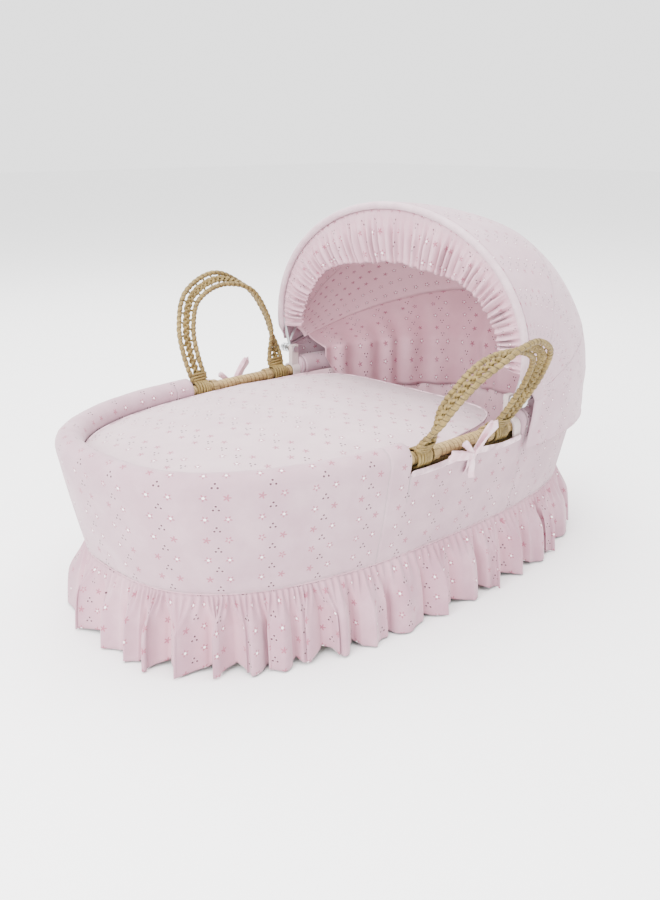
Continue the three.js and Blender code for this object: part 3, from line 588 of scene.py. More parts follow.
class BasketSettings(bpy.types.PropertyGroup):
    """Sizes and colours of the basket's cloth and palm."""

    cotton: tint("Cotton", "Skirt, rim and quilt", (0.470, 0.325, 0.368))
    cotton_shade: tint("Cotton shade", "Its cooler tone", (0.375, 0.238, 0.282))
    # the lining's pink is the cloth's own; it is made lighter than the outside cotton as painted light,
    # standing in for light that comes through the cloth
    lining: tint("Lining", "Inside of the hood", (0.800, 0.560, 0.615))
    lining_shade: tint("Lining shade", "Its deeper tone", (0.720, 0.470, 0.530))
    # colour of the painted shade in the depths of folds and gathers
    painted_fold_shade: tint("Painted fold shade", "Depths of the folds", (0.560, 0.290, 0.350))
    sprig_colour: tint("Sprigs", "Embroidered stars", (0.300, 0.075, 0.125))
    # near black painted into the eyelet holes as the shadow seen through them
    painted_hole_shadow: tint("Eyelets", "Punched holes", (0.060, 0.018, 0.030))
    ribbon: tint("Ribbon", "Ribbon and binding", (0.740, 0.540, 0.600))
    palm: tint("Palm", "Plaited palm leaf", (0.270, 0.190, 0.058))
    palm_dark: tint("Dark palm", "Shaded and brown leaf", (0.070, 0.040, 0.010))
    frill_cotton: tint("Frill", "Skirt frill", (0.480, 0.310, 0.358))
    frill_shade: tint("Frill shade", "Its deeper tone", (0.360, 0.200, 0.248))
    seam: tint("Seam", "Seam above the frill", (0.480, 0.290, 0.340))
    seam_shade: tint("Seam shade", "Its deeper tone", (0.400, 0.220, 0.265))
    quilt_cotton: tint("Quilt", "Domed quilt", (0.540, 0.415, 0.445))
    quilt_shade: tint("Quilt shade", "Its deeper tone", (0.470, 0.340, 0.376))
    hood_cotton: tint("Hood", "Outside of the hood", (0.500, 0.355, 0.402))
    hood_shade: tint("Hood shade", "Its deeper tone", (0.420, 0.275, 0.325))
    # the back lining's pink is the cloth's own; it is made lighter than the outside cotton as painted light,
    # standing in for light that comes through the cloth
    back_lining: tint("Back lining", "Gathered lining behind the rear bow", (0.720, 0.455, 0.520))
    back_shade: tint("Back lining shade", "Its deeper tone", (0.600, 0.345, 0.408))
    welt: tint("Welt", "Padded edge of the hood", (0.540, 0.410, 0.450))
    welt_shade: tint("Welt shade", "Its deeper tone", (0.470, 0.330, 0.375))
    mouth_frill: tint("Mouth frill", "Frill inside the hood's edge", (0.580, 0.395, 0.445))
    mouth_shade: tint("Mouth frill shade", "Its deeper tone", (0.480, 0.285, 0.340))
    ribbon_shade: tint("Ribbon shade", "Inside of the ribbon's loops", (0.600, 0.340, 0.410))
    rope: tint("Rope", "Rim rope", (0.430, 0.310, 0.135))
    # dark tone of the rope's leaf, also the painted shade in the grooves between its turns
    rope_dark_and_groove_shade: tint("Dark rope", "Between its turns", (0.190, 0.115, 0.040))
    piping_shade: tint("Piping shade", "Mattress piping", (0.62, 0.60, 0.59))
    ticking: tint("Ticking", "Mattress cover", (0.760, 0.735, 0.725))
    plastic: tint("Clips", "Moulded hood clips", (0.520, 0.430, 0.420))
    wire: tint("Wire", "Plated hood bows and pins", (0.620, 0.630, 0.650))
    sprig_column: measure_of("Sprig columns", "Between columns of eyelets", 0.060)
    sprig_row: measure_of("Sprig rows", "Between rows of eyelets", 0.0275)
    sprig_size: FloatProperty(name="Sprig size", description="Size of a star", default=1.6, min=0.2, max=3)
    frill_folds: number_of("Skirt folds", "Folds round the skirt's frill", 40, 8, 200)
    frill_depth: measure_of("Fold depth", "How far the skirt's folds stand out", 0.0125, 0.001, 0.03)
    hood_gathers: number_of("Hood gathers", "Gathers in the hood's frill", 54, 8, 300)
    cord_radius: measure_of("Cord radius", "Whipped cords of a handle", 0.0038)


# ------------------------------------------------------------------ cloth round the basket
COVER_RADIUS = ROLL_RADIUS + 0.0006
SEAM_TO_ROLL = math.hypot(SEAM_OFFSET, ROLL_HEIGHT - SEAM_HEIGHT)
TANGENT_TURN = math.degrees(math.atan2(-SEAM_OFFSET, ROLL_HEIGHT - SEAM_HEIGHT)
                            + math.asin(COVER_RADIUS / SEAM_TO_ROLL))
RISE_LENGTH = math.sqrt(SEAM_TO_ROLL ** 2 - COVER_RADIUS ** 2)
WRAP_TURNS = (90 + TANGENT_TURN, -128.0)
WRAP_LENGTH = math.radians(WRAP_TURNS[0] - WRAP_TURNS[1]) * COVER_RADIUS
COVER_LENGTH = RISE_LENGTH + WRAP_LENGTH


def on_cover(station, walked, puff=0.0):
    """A point on the skirt's cover, walked metres up from the frill's seam and over the padded rim."""
    if walked <= RISE_LENGTH:
        lean = math.radians(TANGENT_TURN)
        belly = math.sin(math.pi * walked / RISE_LENGTH) * 0.0012 + puff
        return RIM.at(station, SEAM_OFFSET + walked * math.sin(lean) + belly * math.cos(lean),
                      SEAM_HEIGHT + walked * math.cos(lean) - belly * math.sin(lean))
    turn = math.radians(WRAP_TURNS[0]) - (walked - RISE_LENGTH) / COVER_RADIUS
    radius = COVER_RADIUS + puff
    return RIM.at(station, radius * math.sin(turn), ROLL_HEIGHT + radius * math.cos(turn))


def ease(value):
    """Uneven softness of hand-sewn cloth, from -1 to 1."""
    return noise.noise(value)


def cover_puff(station, walked):
    s = station % 1.0 * RIM.length
    pucker = math.sin(s * 480 + 3 * ease(Vector((s * 20, 0, 5)))) * 0.00055 * math.exp(-walked / 0.010)
    slack = ease(Vector((s * 9, walked * 11, 1.3))) * 0.0011
    slack += ease(Vector((s * 28, walked * 22, 7.1))) * 0.0004
    crease = ease(Vector((s * 70, walked * 9, 3.7))) * 0.0005 * smooth(RISE_LENGTH * 0.7, RISE_LENGTH, walked)
    return pucker + slack + crease


def opening_top(x):
    """How far up the cover a side panel reaches in a handle opening."""
    lift = 0.0035 * math.exp(-((x + 0.012) / 0.045) ** 2) - 0.0022 * math.exp(-((x - 0.06) / 0.03) ** 2)
    return (OPENING_TOP + lift - SEAM_HEIGHT) / math.cos(math.radians(TANGENT_TURN))


def cover_panel(name, stations, reach, look, nodes, flat):
    rows = 40

    def walked(column, row):
        return reach(stations[column]) * row / rows

    def place(column, row):
        station, up = stations[column], walked(column, row)
        return on_cover(station, up, cover_puff(station, up))

    start = RIM.station(0.0, 1)

    def measure(column, row):
        return ((stations[column] - start) * RIM.length, walked(column, row) + 0.006)

    piece = sheet_of(name, len(stations) - 1, rows, place, measure, look, (0, 0, 0.15), 0.0010)
    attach(piece, "basket")
    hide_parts(*nodes)
    return piece


def spread(low, high, step):
    count = max(2, round(abs(high - low) * RIM.length / step))
    return [mix(low, high, i / count) for i in range(count + 1)]


class BASKET_OT_skirt(bpy.types.Operator):
    """Skirt panels that fold over the padded rim, with bound openings for the handles"""

    bl_idname = "moses_basket.skirt"
    bl_label = "Skirt panels"

    def execute(self, context):
        s = context.scene.moses_basket
        cotton = eyelet_cotton("Embroidered cotton", s.cotton, s.cotton_shade)
        ribbon = plain_cotton("Bias binding", s.ribbon, s.cotton_shade)
        full = COVER_LENGTH
        foot = spread(RIM.station(SIDE_SEAMS[0], 1), RIM.station(SIDE_SEAMS[0], -1), 0.004)
        cover_panel("skirt_foot_cover", foot, lambda _: full, cotton, ["skirt_foot_panel"], (0.205, 0.88))
        head = spread(RIM.station(SIDE_SEAMS[1], -1) - 1, RIM.station(SIDE_SEAMS[1], 1), 0.004)
        cover_panel("skirt_head_cover", head, lambda _: full, cotton, ["skirt_head_panel"], (0.205, 0.93))
        for name, sign in SIDES.items():
            corner = [RIM.station(x, sign) for x in (SIDE_SEAMS[0], OPENING[0], OPENING[1], SIDE_SEAMS[1])]
            hair = 0.0008 / RIM.length * sign
            stations = spread(corner[0], corner[1], 0.004) + spread(corner[1] - hair, corner[2] + hair, 0.004)
            stations += spread(corner[2], corner[3], 0.003)

            def reach(station, sign=sign):
                x = RIM.at(station, 0, 0).x
                return opening_top(x) if OPENING[0] + 0.0004 < x < OPENING[1] - 0.0004 else COVER_LENGTH

            binding = self.binding(name, sign, ribbon)
            stands_for, cut = [f"skirt_{name}_panel"], (0.15, 0.27)
            cover_panel(f"skirt_{name}_cover", stations, reach, cotton, stands_for, cut)
        return {"FINISHED"}

    def binding(self, name, sign, look):
        """Bias binding folded over the top edge of a side panel."""
        ends = [RIM.station(x, sign) for x in (OPENING[0] + 0.0015, OPENING[1] - 0.0015)]
        stations = spread(*ends, 0.002)
        bm = bmesh.new()
        centres = []
        for station in stations:
            x = RIM.at(station, 0, 0).x
            top = opening_top(x)
            middle = on_cover(station, top - 0.0022)
            rise = (on_cover(station, top) - on_cover(station, top - 0.01)).normalized()
            out = RIM.out(station)
            wave = ease(Vector((x * 60, sign, 2))) * 0.0006
            centres.append((middle + out * wave, rise, out))

        def radii(column, turn):
            share = column / (len(stations) - 1)
            end = smooth(0, 0.015, share) * smooth(0, 0.015, 1 - share)
            pucker = 1 + 0.05 * math.sin(column * 1.9)
            return 0.0046 * (0.3 + 0.7 * end), 0.0017 * pucker * end

        tube_into(bm, centres, radii, 12)
        finish_solid(bm)
        piece = from_bmesh(f"{name}_binding", bm, look)
        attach(piece, "basket")
        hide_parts(f"{name}_opening_binding")
        return piece


class BASKET_OT_frill(bpy.types.Operator):
    """The skirt's frill: one long strip gathered into the seam, hanging in deep uneven folds"""

    bl_idname = "moses_basket.frill"
    bl_label = "Skirt frill"

    def execute(self, context):
        s = context.scene.moses_basket
        rng = random.Random(11)
        cotton = eyelet_cotton("Frill cotton", s.frill_cotton, s.frill_shade)
        widths = [rng.uniform(0.55, 1.6) for _ in range(s.frill_folds)]
        total = sum(widths)
        depths = [rng.uniform(0.65, 1.25) for _ in widths]
        leans = [rng.choice((-1, 1)) * rng.uniform(0.25, 1.0) for _ in widths]
        hems = [rng.uniform(-1, 1) for _ in widths]
        edges = [0.0]
        for width in widths:
            edges.append(edges[-1] + width / total)
        per_fold, rows = 32, 26
        columns = s.frill_folds * per_fold
        seam_top = SEAM_HEIGHT - 0.0006
        drop_length = 0.0945

        def fold(column):
            index, share = divmod(column, per_fold)
            index %= s.frill_folds
            share /= per_fold
            following = (index + 1) % s.frill_folds
            blend = smooth(0, 1, share)
            station = mix(edges[index], edges[index + 1], share)
            return (station, share, mix(depths[index], depths[following], blend),
                    mix(leans[index], leans[following], blend), mix(hems[index], hems[following], blend))

        def place(column, row):
            station, share, depth, lean, hem = fold(column)
            down = row / rows
            wave = 2 * abs(math.sin(math.pi * share)) ** 0.75 - 1
            length = drop_length - 0.0020 + 0.0035 * hem + 0.0030 * wave
            full = smooth(0.0, 0.5, down)
            gather = math.sin(FULL_TURN * (share * 5 + 0.2 * hem)) * 0.0024 * (1 - smooth(0.05, 0.5, down))
            gather *= smooth(0.0, 0.06, down)
            swell = wave * s.frill_depth * depth * mix(0.06, 1.0, full)
            crease = math.sin(4 * math.pi * share + hem * 3) * 0.0036 * full
            side = math.sin(FULL_TURN * share + lean) * (0.0125 * lean + 0.004) * full
            side += math.sin(6 * math.pi * share) * 0.0012 * full
            droop = 0.0175 * down + 0.0035 * math.sin(math.pi * down)
            offset = SEAM_OFFSET + droop + swell + gather + crease - 0.0005
            height = seam_top - length * down * (1 - 0.03 * full)
            return RIM.at(station + side / RIM.length, offset, max(0.0026, height))

        walked = [0.0]
        for column in range(columns):
            walked.append(walked[-1] + (place(column + 1, rows - 6) - place(column, rows - 6)).length)

        def measure(column, row):
            return walked[column], 0.095 * (1 - row / rows)

        # mask of painted shade: darker in the fold valleys and at the pinched gathers below the seam
        def crease(column, row):
            _, share, depth, _, _ = fold(column)
            down = row / rows
            valley = (1 - abs(math.sin(math.pi * share)) ** 0.55) * smooth(0.0, 0.4, down) * min(1, depth)
            pinch = 0.225 * (1 + math.cos(FULL_TURN * (share * 5))) * (1 - smooth(0.02, 0.3, down))
            return min(1.0, valley + pinch)

        inside = (0, 0, 0.05)
        piece = sheet_of("gathered_frill", columns, rows, place, measure, cotton, inside, 0.0007, crease)
        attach(piece, "basket")
        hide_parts("skirt_frill")
        self.seam(context)
        return {"FINISHED"}

    def seam(self, context):
        """The narrow rolled seam where the frill joins the skirt."""
        s = context.scene.moses_basket
        look = plain_cotton("Seam", s.seam, s.seam_shade)
        count = 520
        bm = bmesh.new()
        centres = []
        for i in range(count + 1):
            station = i / count
            out = RIM.out(station)
            centres.append((RIM.at(station, SEAM_OFFSET - 0.0001, SEAM_HEIGHT), out, UP))
        tube_into(bm, centres, lambda column, turn: (0.0009, 0.0011), 8)
        finish_solid(bm)
        piece = from_bmesh("frill_seam", bm, look)
        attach(piece, "basket")


class BASKET_OT_rim(bpy.types.Operator):
    """Wadding rolls round the rim, drawn in where a handle opening begins"""

    bl_idname = "moses_basket.rim"
    bl_label = "Padded rim"

    def execute(self, context):
        s = context.scene.moses_basket
        look = plain_cotton("Rim wadding cover", s.cotton, s.cotton_shade)
        ends = {
            "foot": (RIM.station(OPENING[0], 1), RIM.station(OPENING[0], -1)),
            "head": (RIM.station(OPENING[1], -1) - 1, RIM.station(OPENING[1], 1)),
        }
        for name, (low, high) in ends.items():
            stations = spread(low, high, 0.004)
            length = abs(high - low) * RIM.length
            bm = bmesh.new()
            centres = []
            for station in stations:
                out = RIM.out(station)
                centres.append((RIM.at(station, 0, ROLL_HEIGHT), out, UP))

            def radii(column, turn, length=length, count=len(stations) - 1):
                edge = min(column, count - column) / count * length
                end = math.sqrt(max(0.0, 1 - (1 - min(1.0, edge / 0.012)) ** 2))
                pleat = 1 + 0.06 * math.cos(turn * 9) * (1 - smooth(0.004, 0.03, edge))
                r = ROLL_RADIUS * 0.975 * mix(0.42, 1.0, end) * pleat
                return (0.0, 0.0) if edge <= 1e-9 else (r, r)

            tube_into(bm, centres, radii, 36)
            finish_solid(bm)
            piece = from_bmesh(f"{name}_wadding", bm, look)
            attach(piece, "basket")
            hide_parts(f"liner_{name}_roll")
        return {"FINISHED"}


class BASKET_OT_bedding(bpy.types.Operator):
    """Gathered liner, foam mattress in quilted ticking, and the domed quilt"""

    bl_idname = "moses_basket.bedding"
    bl_label = "Liner, mattress and quilt"

    def execute(self, context):
        self.liner(context)
        self.mattress(context)
        self.quilt(context)
        return {"FINISHED"}

    def liner(self, context):
        s = context.scene.moses_basket
        look = eyelet_cotton("Liner cotton", s.lining, s.lining_shade)
        columns, rows, top = 900, 16, 0.2215

        def place(column, row):
            share, up = column / columns, row / rows
            height = mix(0.0092, top, up)
            turn = share * 6.283
            drift = ease(Vector((math.cos(turn) * 3, math.sin(turn) * 3, 0)))
            wave = math.sin(share * FULL_TURN * 74 + 2.2 * drift)
            fold = wave * 0.0016 * (0.35 + 0.65 * math.sin(math.pi * min(1, up * 1.05)))
            offset = wall_offset(height) - 0.0112 + fold - 0.0028 * smooth(0.9, 1.0, up)
            return RIM.at(share, offset, height)

        def measure(column, row):
            return column / columns * RIM.length * 1.25, row / rows * 0.213

        piece = sheet_of("gathered_liner", columns, rows, place, measure, look, (0, 0, 0.1), 0.0008)
        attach(piece, "basket")
        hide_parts("liner_wall")

    def mattress(self, context):
        s = context.scene.moses_basket
        look = quilted_ticking("Quilted ticking", s.ticking)
        edge = wall_offset(0.0084) - WALL_THICKNESS / 2 - 0.0079
        low, high = 0.0086, 0.0434

        def ring(share, offset, height):
            def at(station):
                p = RIM.at(station, edge + offset, 0)
                one, two = p.x * share + p.y * share, p.x * share - p.y * share
                quilt = abs(math.sin(one * 88)) * abs(math.sin(two * 88))
                lift = 0.0022 * quilt * (1 - share ** 8) if height > 0.04 else 0.0
                return Vector((p.x * share, p.y * share, height + lift))
            return at

        rings = [ring(i / 56, -0.003, high - 0.0024 - 0.0016 * (i / 56) ** 6) for i in range(56)]
        for offset, down in ((-0.003, 0.0042), (-0.0008, 0.005), (-0.0002, 0.008)):
            rings.append(ring(1, offset, high - down))
        rings += [ring(1, 0.0, mix(high - 0.011, low + 0.010, i / 6)) for i in range(7)]
        rings += [ring(1, -0.0006, low + 0.004), ring(1, -0.003, low + 0.001)]
        rings += [ring(1 - i / 6, -0.003, low) for i in range(1, 7)]
        piece = pad_of("foam_mattress", 300, rings, look)
        bm = bmesh.new()
        for height in (high - 0.0062, low + 0.0045):
            centres = [(RIM.at(i / 300, edge + 0.0004, height), RIM.out(i / 300), UP) for i in range(301)]
            tube_into(bm, centres, lambda column, turn: (0.0019, 0.0019), 8)
        finish_solid(bm)
        piping = from_bmesh("mattress_piping", bm, plain_cotton("Piping", s.ticking, s.piping_shade))
        for part in (piece, piping):
            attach(part, "basket")
        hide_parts("mattress")

    def quilt(self, context):
        s = context.scene.moses_basket
        look = eyelet_cotton("Quilt cotton", s.quilt_cotton, s.quilt_shade, on_top=True)
        clearance, edge, head, taper = ROLL_RADIUS + 0.002, RIM_HEIGHT - 0.002, 0.150, -0.020
        middle = (head - RIM_HALF_LENGTH) / 2

        def on_plan(share, station):
            out = RIM.at(station, -clearance, 0)
            past = max(0.0, out.x - taper) / (RIM_HALF_LENGTH - clearance - taper)
            turn = math.sin(past * math.pi / 2)
            x = mix(taper, head, turn) if past > 0 else out.x
            return mix(middle, x, share), out.y * (1 - 0.12 * turn) * share

        def ring(share, top):
            def at(station):
                x, y = on_plan(share, station)
                swell = 1 - share ** (2.6 if top else 2.2)
                soft = ease(Vector((x * 9, y * 11, 0.4))) * 0.0026
                soft += ease(Vector((x * 22, y * 30, 4))) * 0.0013
                ripple = math.sin(station * FULL_TURN * 46 + 4 * ease(Vector((x * 12, y * 12, 9)))) * 0.0009
                height = edge + (0.0255 * swell if top else -0.018 * swell)
                hand = soft * (1 - share ** 6) + ripple * share ** 10 * (1 - share ** 60)
                height += hand * (1 if top else 0.5)
                return Vector((x, y, height))
            return at

        shares = [i / 44 for i in range(40)] + [0.925, 0.945, 0.962, 0.976, 0.988, 0.996]
        rings = [ring(share, True) for share in shares] + [ring(1.0, True)]
        rings += [ring(share, False) for share in reversed(shares)]
        piece = pad_of("domed_quilt", 320, rings, look)
        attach(piece, "coverlet")
        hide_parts("coverlet")
        bm = bmesh.new()
        centres = []
        for i in range(321):
            x, y = on_plan(1.0, i / 320)
            out = Vector((x - middle, y, 0)).normalized()
            centres.append((Vector((x, y, edge)) - out * 0.0006, out, UP))
        tube_into(bm, centres, lambda column, turn: (0.0014, 0.0016), 8)
        finish_solid(bm)
        piping = from_bmesh("quilt_piping", bm, plain_cotton("Quilt piping", s.ribbon, s.cotton_shade))
        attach(piping, "coverlet")


# ------------------------------------------------------------------ hood
def bow_weights(piece, front, back):
    """Each point of a hood panel follows its two bows by its angle round their common pivot."""
    data = piece.data
    values = []
    for v in data.vertices:
        r = math.hypot(v.co.x - PIVOT_X, v.co.z - PIVOT_Z)
        angle = math.degrees(math.atan2(v.co.x - PIVOT_X, v.co.z - PIVOT_Z)) if r > 1e-4 else back
        values.append(min(1.0, max(0.0, (back - angle) / (back - front))))
    data.attributes["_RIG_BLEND"].data.foreach_set("value", values)


def hood_sheet(name, angles, trim, inset, look, drape=None, thick=0.001, grid=(110, 26), crease=None,
               length=None):
    """A panel of the hood between two angles, taut between its bows, or placed by drape(column, row)."""
    columns, rows = grid
    low, high = angles

    def place(column, row):
        u = mix(trim, 1 - trim, column / columns)
        t = row / rows
        angle = mix(low, high, t)
        _, r = hood_section(u, angle)
        taut = math.sin(math.pi * t) * 0.0022 * smooth(0.03, 0.12, r)
        pull = math.sin(u * 46 + t * 5 + 3 * ease(Vector((u * 7, t * 2, inset * 300)))) * 0.0007
        pull *= math.exp(-min(u - trim, 1 - trim - u) / 0.12) * smooth(0.02, 0.08, r)
        soft = ease(Vector((u * 9, angle * 0.06, inset * 500))) * 0.0009
        return on_hood(u, angle, inset + taut + pull + soft * smooth(0.03, 0.1, r))

    girth = 0.86

    def measure(column, row):
        up = row / rows * length if length else math.radians(mix(low, high, row / rows)) * 0.27
        return (column / columns - 0.5) * girth, up

    return sheet_of(name, columns, rows, drape or place, measure, look, (0.2, 0, 0.22), thick, crease)


class BASKET_OT_hood(bpy.types.Operator):
    """Hood cover and lining in three panels each, which fold between the bows, and the back curtain"""

    bl_idname = "moses_basket.hood"
    bl_label = "Hood cover and lining"

    def execute(self, context):
        s = context.scene.moses_basket
        outside = eyelet_cotton("Hood cotton", s.hood_cotton, s.hood_shade)
        # the lining's extra lightness is painted light for light coming through the hood's cloth
        inside = eyelet_cotton("Hood lining", s.lining, s.lining_shade, stars_only=True)
        panels = [
            ("front", (0.0, MID_BOW), "hood_mid", "hood_front"),
            ("mid", (MID_BOW, REAR_BOW), "hood", "hood_mid"),
        ]
        layers = [
            ("cover", 0.02, 0.0002, outside, "cotton", {"front": 0.090, "mid": 0.108}),
            ("lining", 0.05, 0.0076, inside, "cotton_lining", {"front": 0.084, "mid": 0.102}),
        ]
        for layer, trim, inset, look, slot, cut in layers:
            for name, angles, behind, ahead in panels:
                piece = hood_sheet(f"hood_{name}_{layer}_cloth", angles, trim, inset, look)
                start = on_hood(0.5, angles[1])
                end = on_hood(0.5, angles[0])
                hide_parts(f"hood_{name}_{layer}")
                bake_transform(piece, behind, ahead, start=tuple(start), end=tuple(end))
                bow_weights(piece, *angles)
        self.rear(outside, s)
        self.edges(context)
        return {"FINISHED"}

    def rear(self, outside, settings):
        """The panel behind the rear bow with its back curtain, and the lining that hangs inside the rim."""
        turn_at, columns, rows = 0.42, 140, 42

        def cover(column, row):
            u = column / columns
            t = row / rows
            drop = max(0.0, (t - turn_at) / (1 - turn_at))
            u = mix(mix(0.02, 0.008, drop), 1 - mix(0.02, 0.008, drop), u)
            corner = math.exp(-min(u, 1 - u) / 0.10)
            pull = math.sin(u * 130 + t * 9) * 0.0011 * corner * smooth(0.0, 0.3, t)
            soft = ease(Vector((u * 8, t * 4, 2))) * 0.0014
            if t <= turn_at:
                back = t / turn_at
                return on_hood(u, mix(REAR_BOW, 90, back), 0.0002 - soft * back + pull * back)
            height = mix(PIVOT_Z, HEM_HEIGHT + 0.004 * corner * drop, drop)
            offset = HOOD_OVERHANG - HEM_DRAW * drop + pull + soft + 0.0016 * smooth(0.93, 1.0, drop)
            return RIM.at(mix(-HOOD_STATION, HOOD_STATION, u), offset, height)

        piece = hood_sheet("hood_rear_cover_cloth", (REAR_BOW, 90), 0.02, 0.0, outside, cover, 0.0011,
                           (columns, rows), None, 0.165)
        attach(piece, "hood")
        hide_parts("hood_rear_cover")

        def lining(column, row):
            u = mix(0.06, 0.94, column / 240)
            t = row / 34
            swing = ease(Vector((u * 9, 0, 0))) * 6.0
            wave = math.sin(column / 240 * FULL_TURN * 15 + swing) * 0.0032 * smooth(0.02, 0.5, t)
            low_at = RIM.at(mix(-HOOD_STATION, HOOD_STATION, u), -0.0225 - wave, 0)
            full = smooth(PIVOT_X + 0.03, PIVOT_X + 0.11, low_at.x)
            shoulder = Vector((low_at.x, low_at.y, 0.2600))
            bow = on_hood(u, REAR_BOW, 0.0078)
            if t <= 0.6:
                at = bow.lerp(shoulder, t / 0.6)
                away = (at - Vector((PIVOT_X, 0, at.z))).normalized()
                return at + away * (0.010 * math.sin(math.pi * t / 0.6))
            return Vector((low_at.x, low_at.y, mix(0.2600, mix(0.2560, 0.1780, full), (t - 0.6) / 0.4)))

        # mask of painted shade: darker in the lining's fold valleys and along its edge at the rear bow
        def crease(column, row):
            swing = ease(Vector((mix(0.06, 0.94, column / 240) * 9, 0, 0))) * 6.0
            wave = math.sin(column / 240 * FULL_TURN * 15 + swing)
            return max(0.0, -wave) * 0.5 * smooth(0.02, 0.5, row / 34) + 0.5 * smooth(0.03, 0.0, row / 34)

        # the back lining's extra lightness is painted light for light coming through the cloth
        look = eyelet_cotton("Back lining", settings.back_lining, settings.back_shade)
        piece = hood_sheet("hood_rear_lining_cloth", (REAR_BOW, 89), 0.05, 0.0, look, lining, 0.0008,
                           (240, 34), crease, 0.175)
        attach(piece, "hood")
        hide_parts("hood_rear_lining")

    def edges(self, context):
        """The padded welt along the front bow and the gathered frill that hangs inside it."""
        s = context.scene.moses_basket
        rng = random.Random(5)
        welt_look = plain_cotton("Hood welt", s.welt, s.welt_shade)
        bm = bmesh.new()
        centres = []
        for i in range(221):
            u = mix(0.03, 0.97, i / 220)
            middle = on_hood(u, 0, 0.0044, -0.0040)
            inward = (on_hood(u, 0, 0.01) - on_hood(u, 0, 0.0)).normalized()
            centres.append((middle, inward, Vector((1, 0, 0))))

        def radii(column, turn):
            end = smooth(0, 6, column) * smooth(0, 6, 220 - column)
            soft = 1 + 0.05 * ease(Vector((column * 0.11, 0, 3)))
            return 0.0052 * soft * end, 0.0054 * soft * end

        tube_into(bm, centres, radii, 16)
        finish_solid(bm)
        welt = from_bmesh("front_welt", bm, welt_look)
        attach(welt, "hood_front")
        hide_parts("hood_front_ridge")

        gathers, per = s.hood_gathers, 16
        columns, rows = gathers * per, 20
        strength = [rng.uniform(0.45, 1.4) for _ in range(gathers + 1)]
        start, header = 0.0098, 0.19

        def place(column, row):
            t = row / rows
            index, share = divmod(column, per)
            share /= per
            nextone = min(gathers, index + 1)
            amount = mix(strength[min(index, gathers)], strength[nextone], smooth(0, 1, share))
            u = mix(0.05, 0.95, column / columns)
            off = abs(2 * u - 1)
            width = 0.058 * (1 - 0.4 * off * off) + 0.018 * smooth(0.5, 0.1, off) * (1 + 0.2 * (amount - 0.9))
            wave = math.sin(FULL_TURN * share + 1.1 * math.sin(index * 1.7 + share * 1.7))
            depth = 0.0007
            if t >= header:
                depth = mix(0.0016, 0.0056, smooth(header, 0.6, t)) * mix(1, 0.55, smooth(0.8, 1, t))
            fine = math.sin(4 * math.pi * share + amount * 4) * 0.0006 * smooth(0, header, t)
            line = -0.0012 * math.exp(-((t - header) / 0.05) ** 2)
            inner = 0.0012 * math.exp(-((t - 0.955) / 0.03) ** 2)
            hang = 0.006 * t * t + ease(Vector((u * 8, t, 2))) * 0.002 * t
            behind = -0.0016 + hang + wave * depth * amount + fine - line - inner
            slide = math.sin(FULL_TURN * share + 1.2) * 0.0016 * amount * smooth(header, 0.6, t)
            return on_hood(min(0.97, max(0.03, u + slide)), 0, start + width * t, behind)

        walked = [0.0]
        for column in range(columns):
            walked.append(walked[-1] + (place(column + 1, rows // 2) - place(column, rows // 2)).length)

        def measure(column, row):
            return walked[column], row / rows * 0.066

        # mask of painted shade: darker in the gathers' folds and in bands along the gather line and the inner
        # edge
        def crease(column, row):
            t, (index, share) = row / rows, divmod(column, per)
            wave = math.sin(FULL_TURN * share / per + 1.1 * math.sin(index * 1.7 + share / per * 1.7))
            amount = strength[min(index, gathers)]
            band = 0.35 * math.exp(-((t - header) / 0.04) ** 2) + 0.3 * math.exp(-((t - 0.955) / 0.03) ** 2)
            fold = max(0.0, wave - 0.15) * 0.75 * amount * smooth(header, header + 0.12, t) * mix(1, 0.7, t)
            return min(1.0, fold + band)

        look = eyelet_cotton("Hood frill cotton", s.mouth_frill, s.mouth_shade)
        inside = (0.6, 0, 0.3)
        piece = sheet_of("hood_mouth_frill", columns, rows, place, measure, look, inside, 0.0007, crease)
        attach(piece, "hood_front")
        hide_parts("hood_front_frill")


# ------------------------------------------------------------------ ribbons
def strip_into(bm, path, across, width):
    """A flat ribbon along path, its width a function of the share walked."""
    count = len(path) - 1

    def place(column, row):
        share = column / count
        return path[column] + across[column] * (width(share) * (row / 6 - 0.5))

    walked = [0.0]
    for a, b in zip(path, path[1:]):
        walked.append(walked[-1] + (b - a).length)
    return woven_grid(bm, count, 6, place, lambda column, row: (walked[column], row / 6 * 0.014))


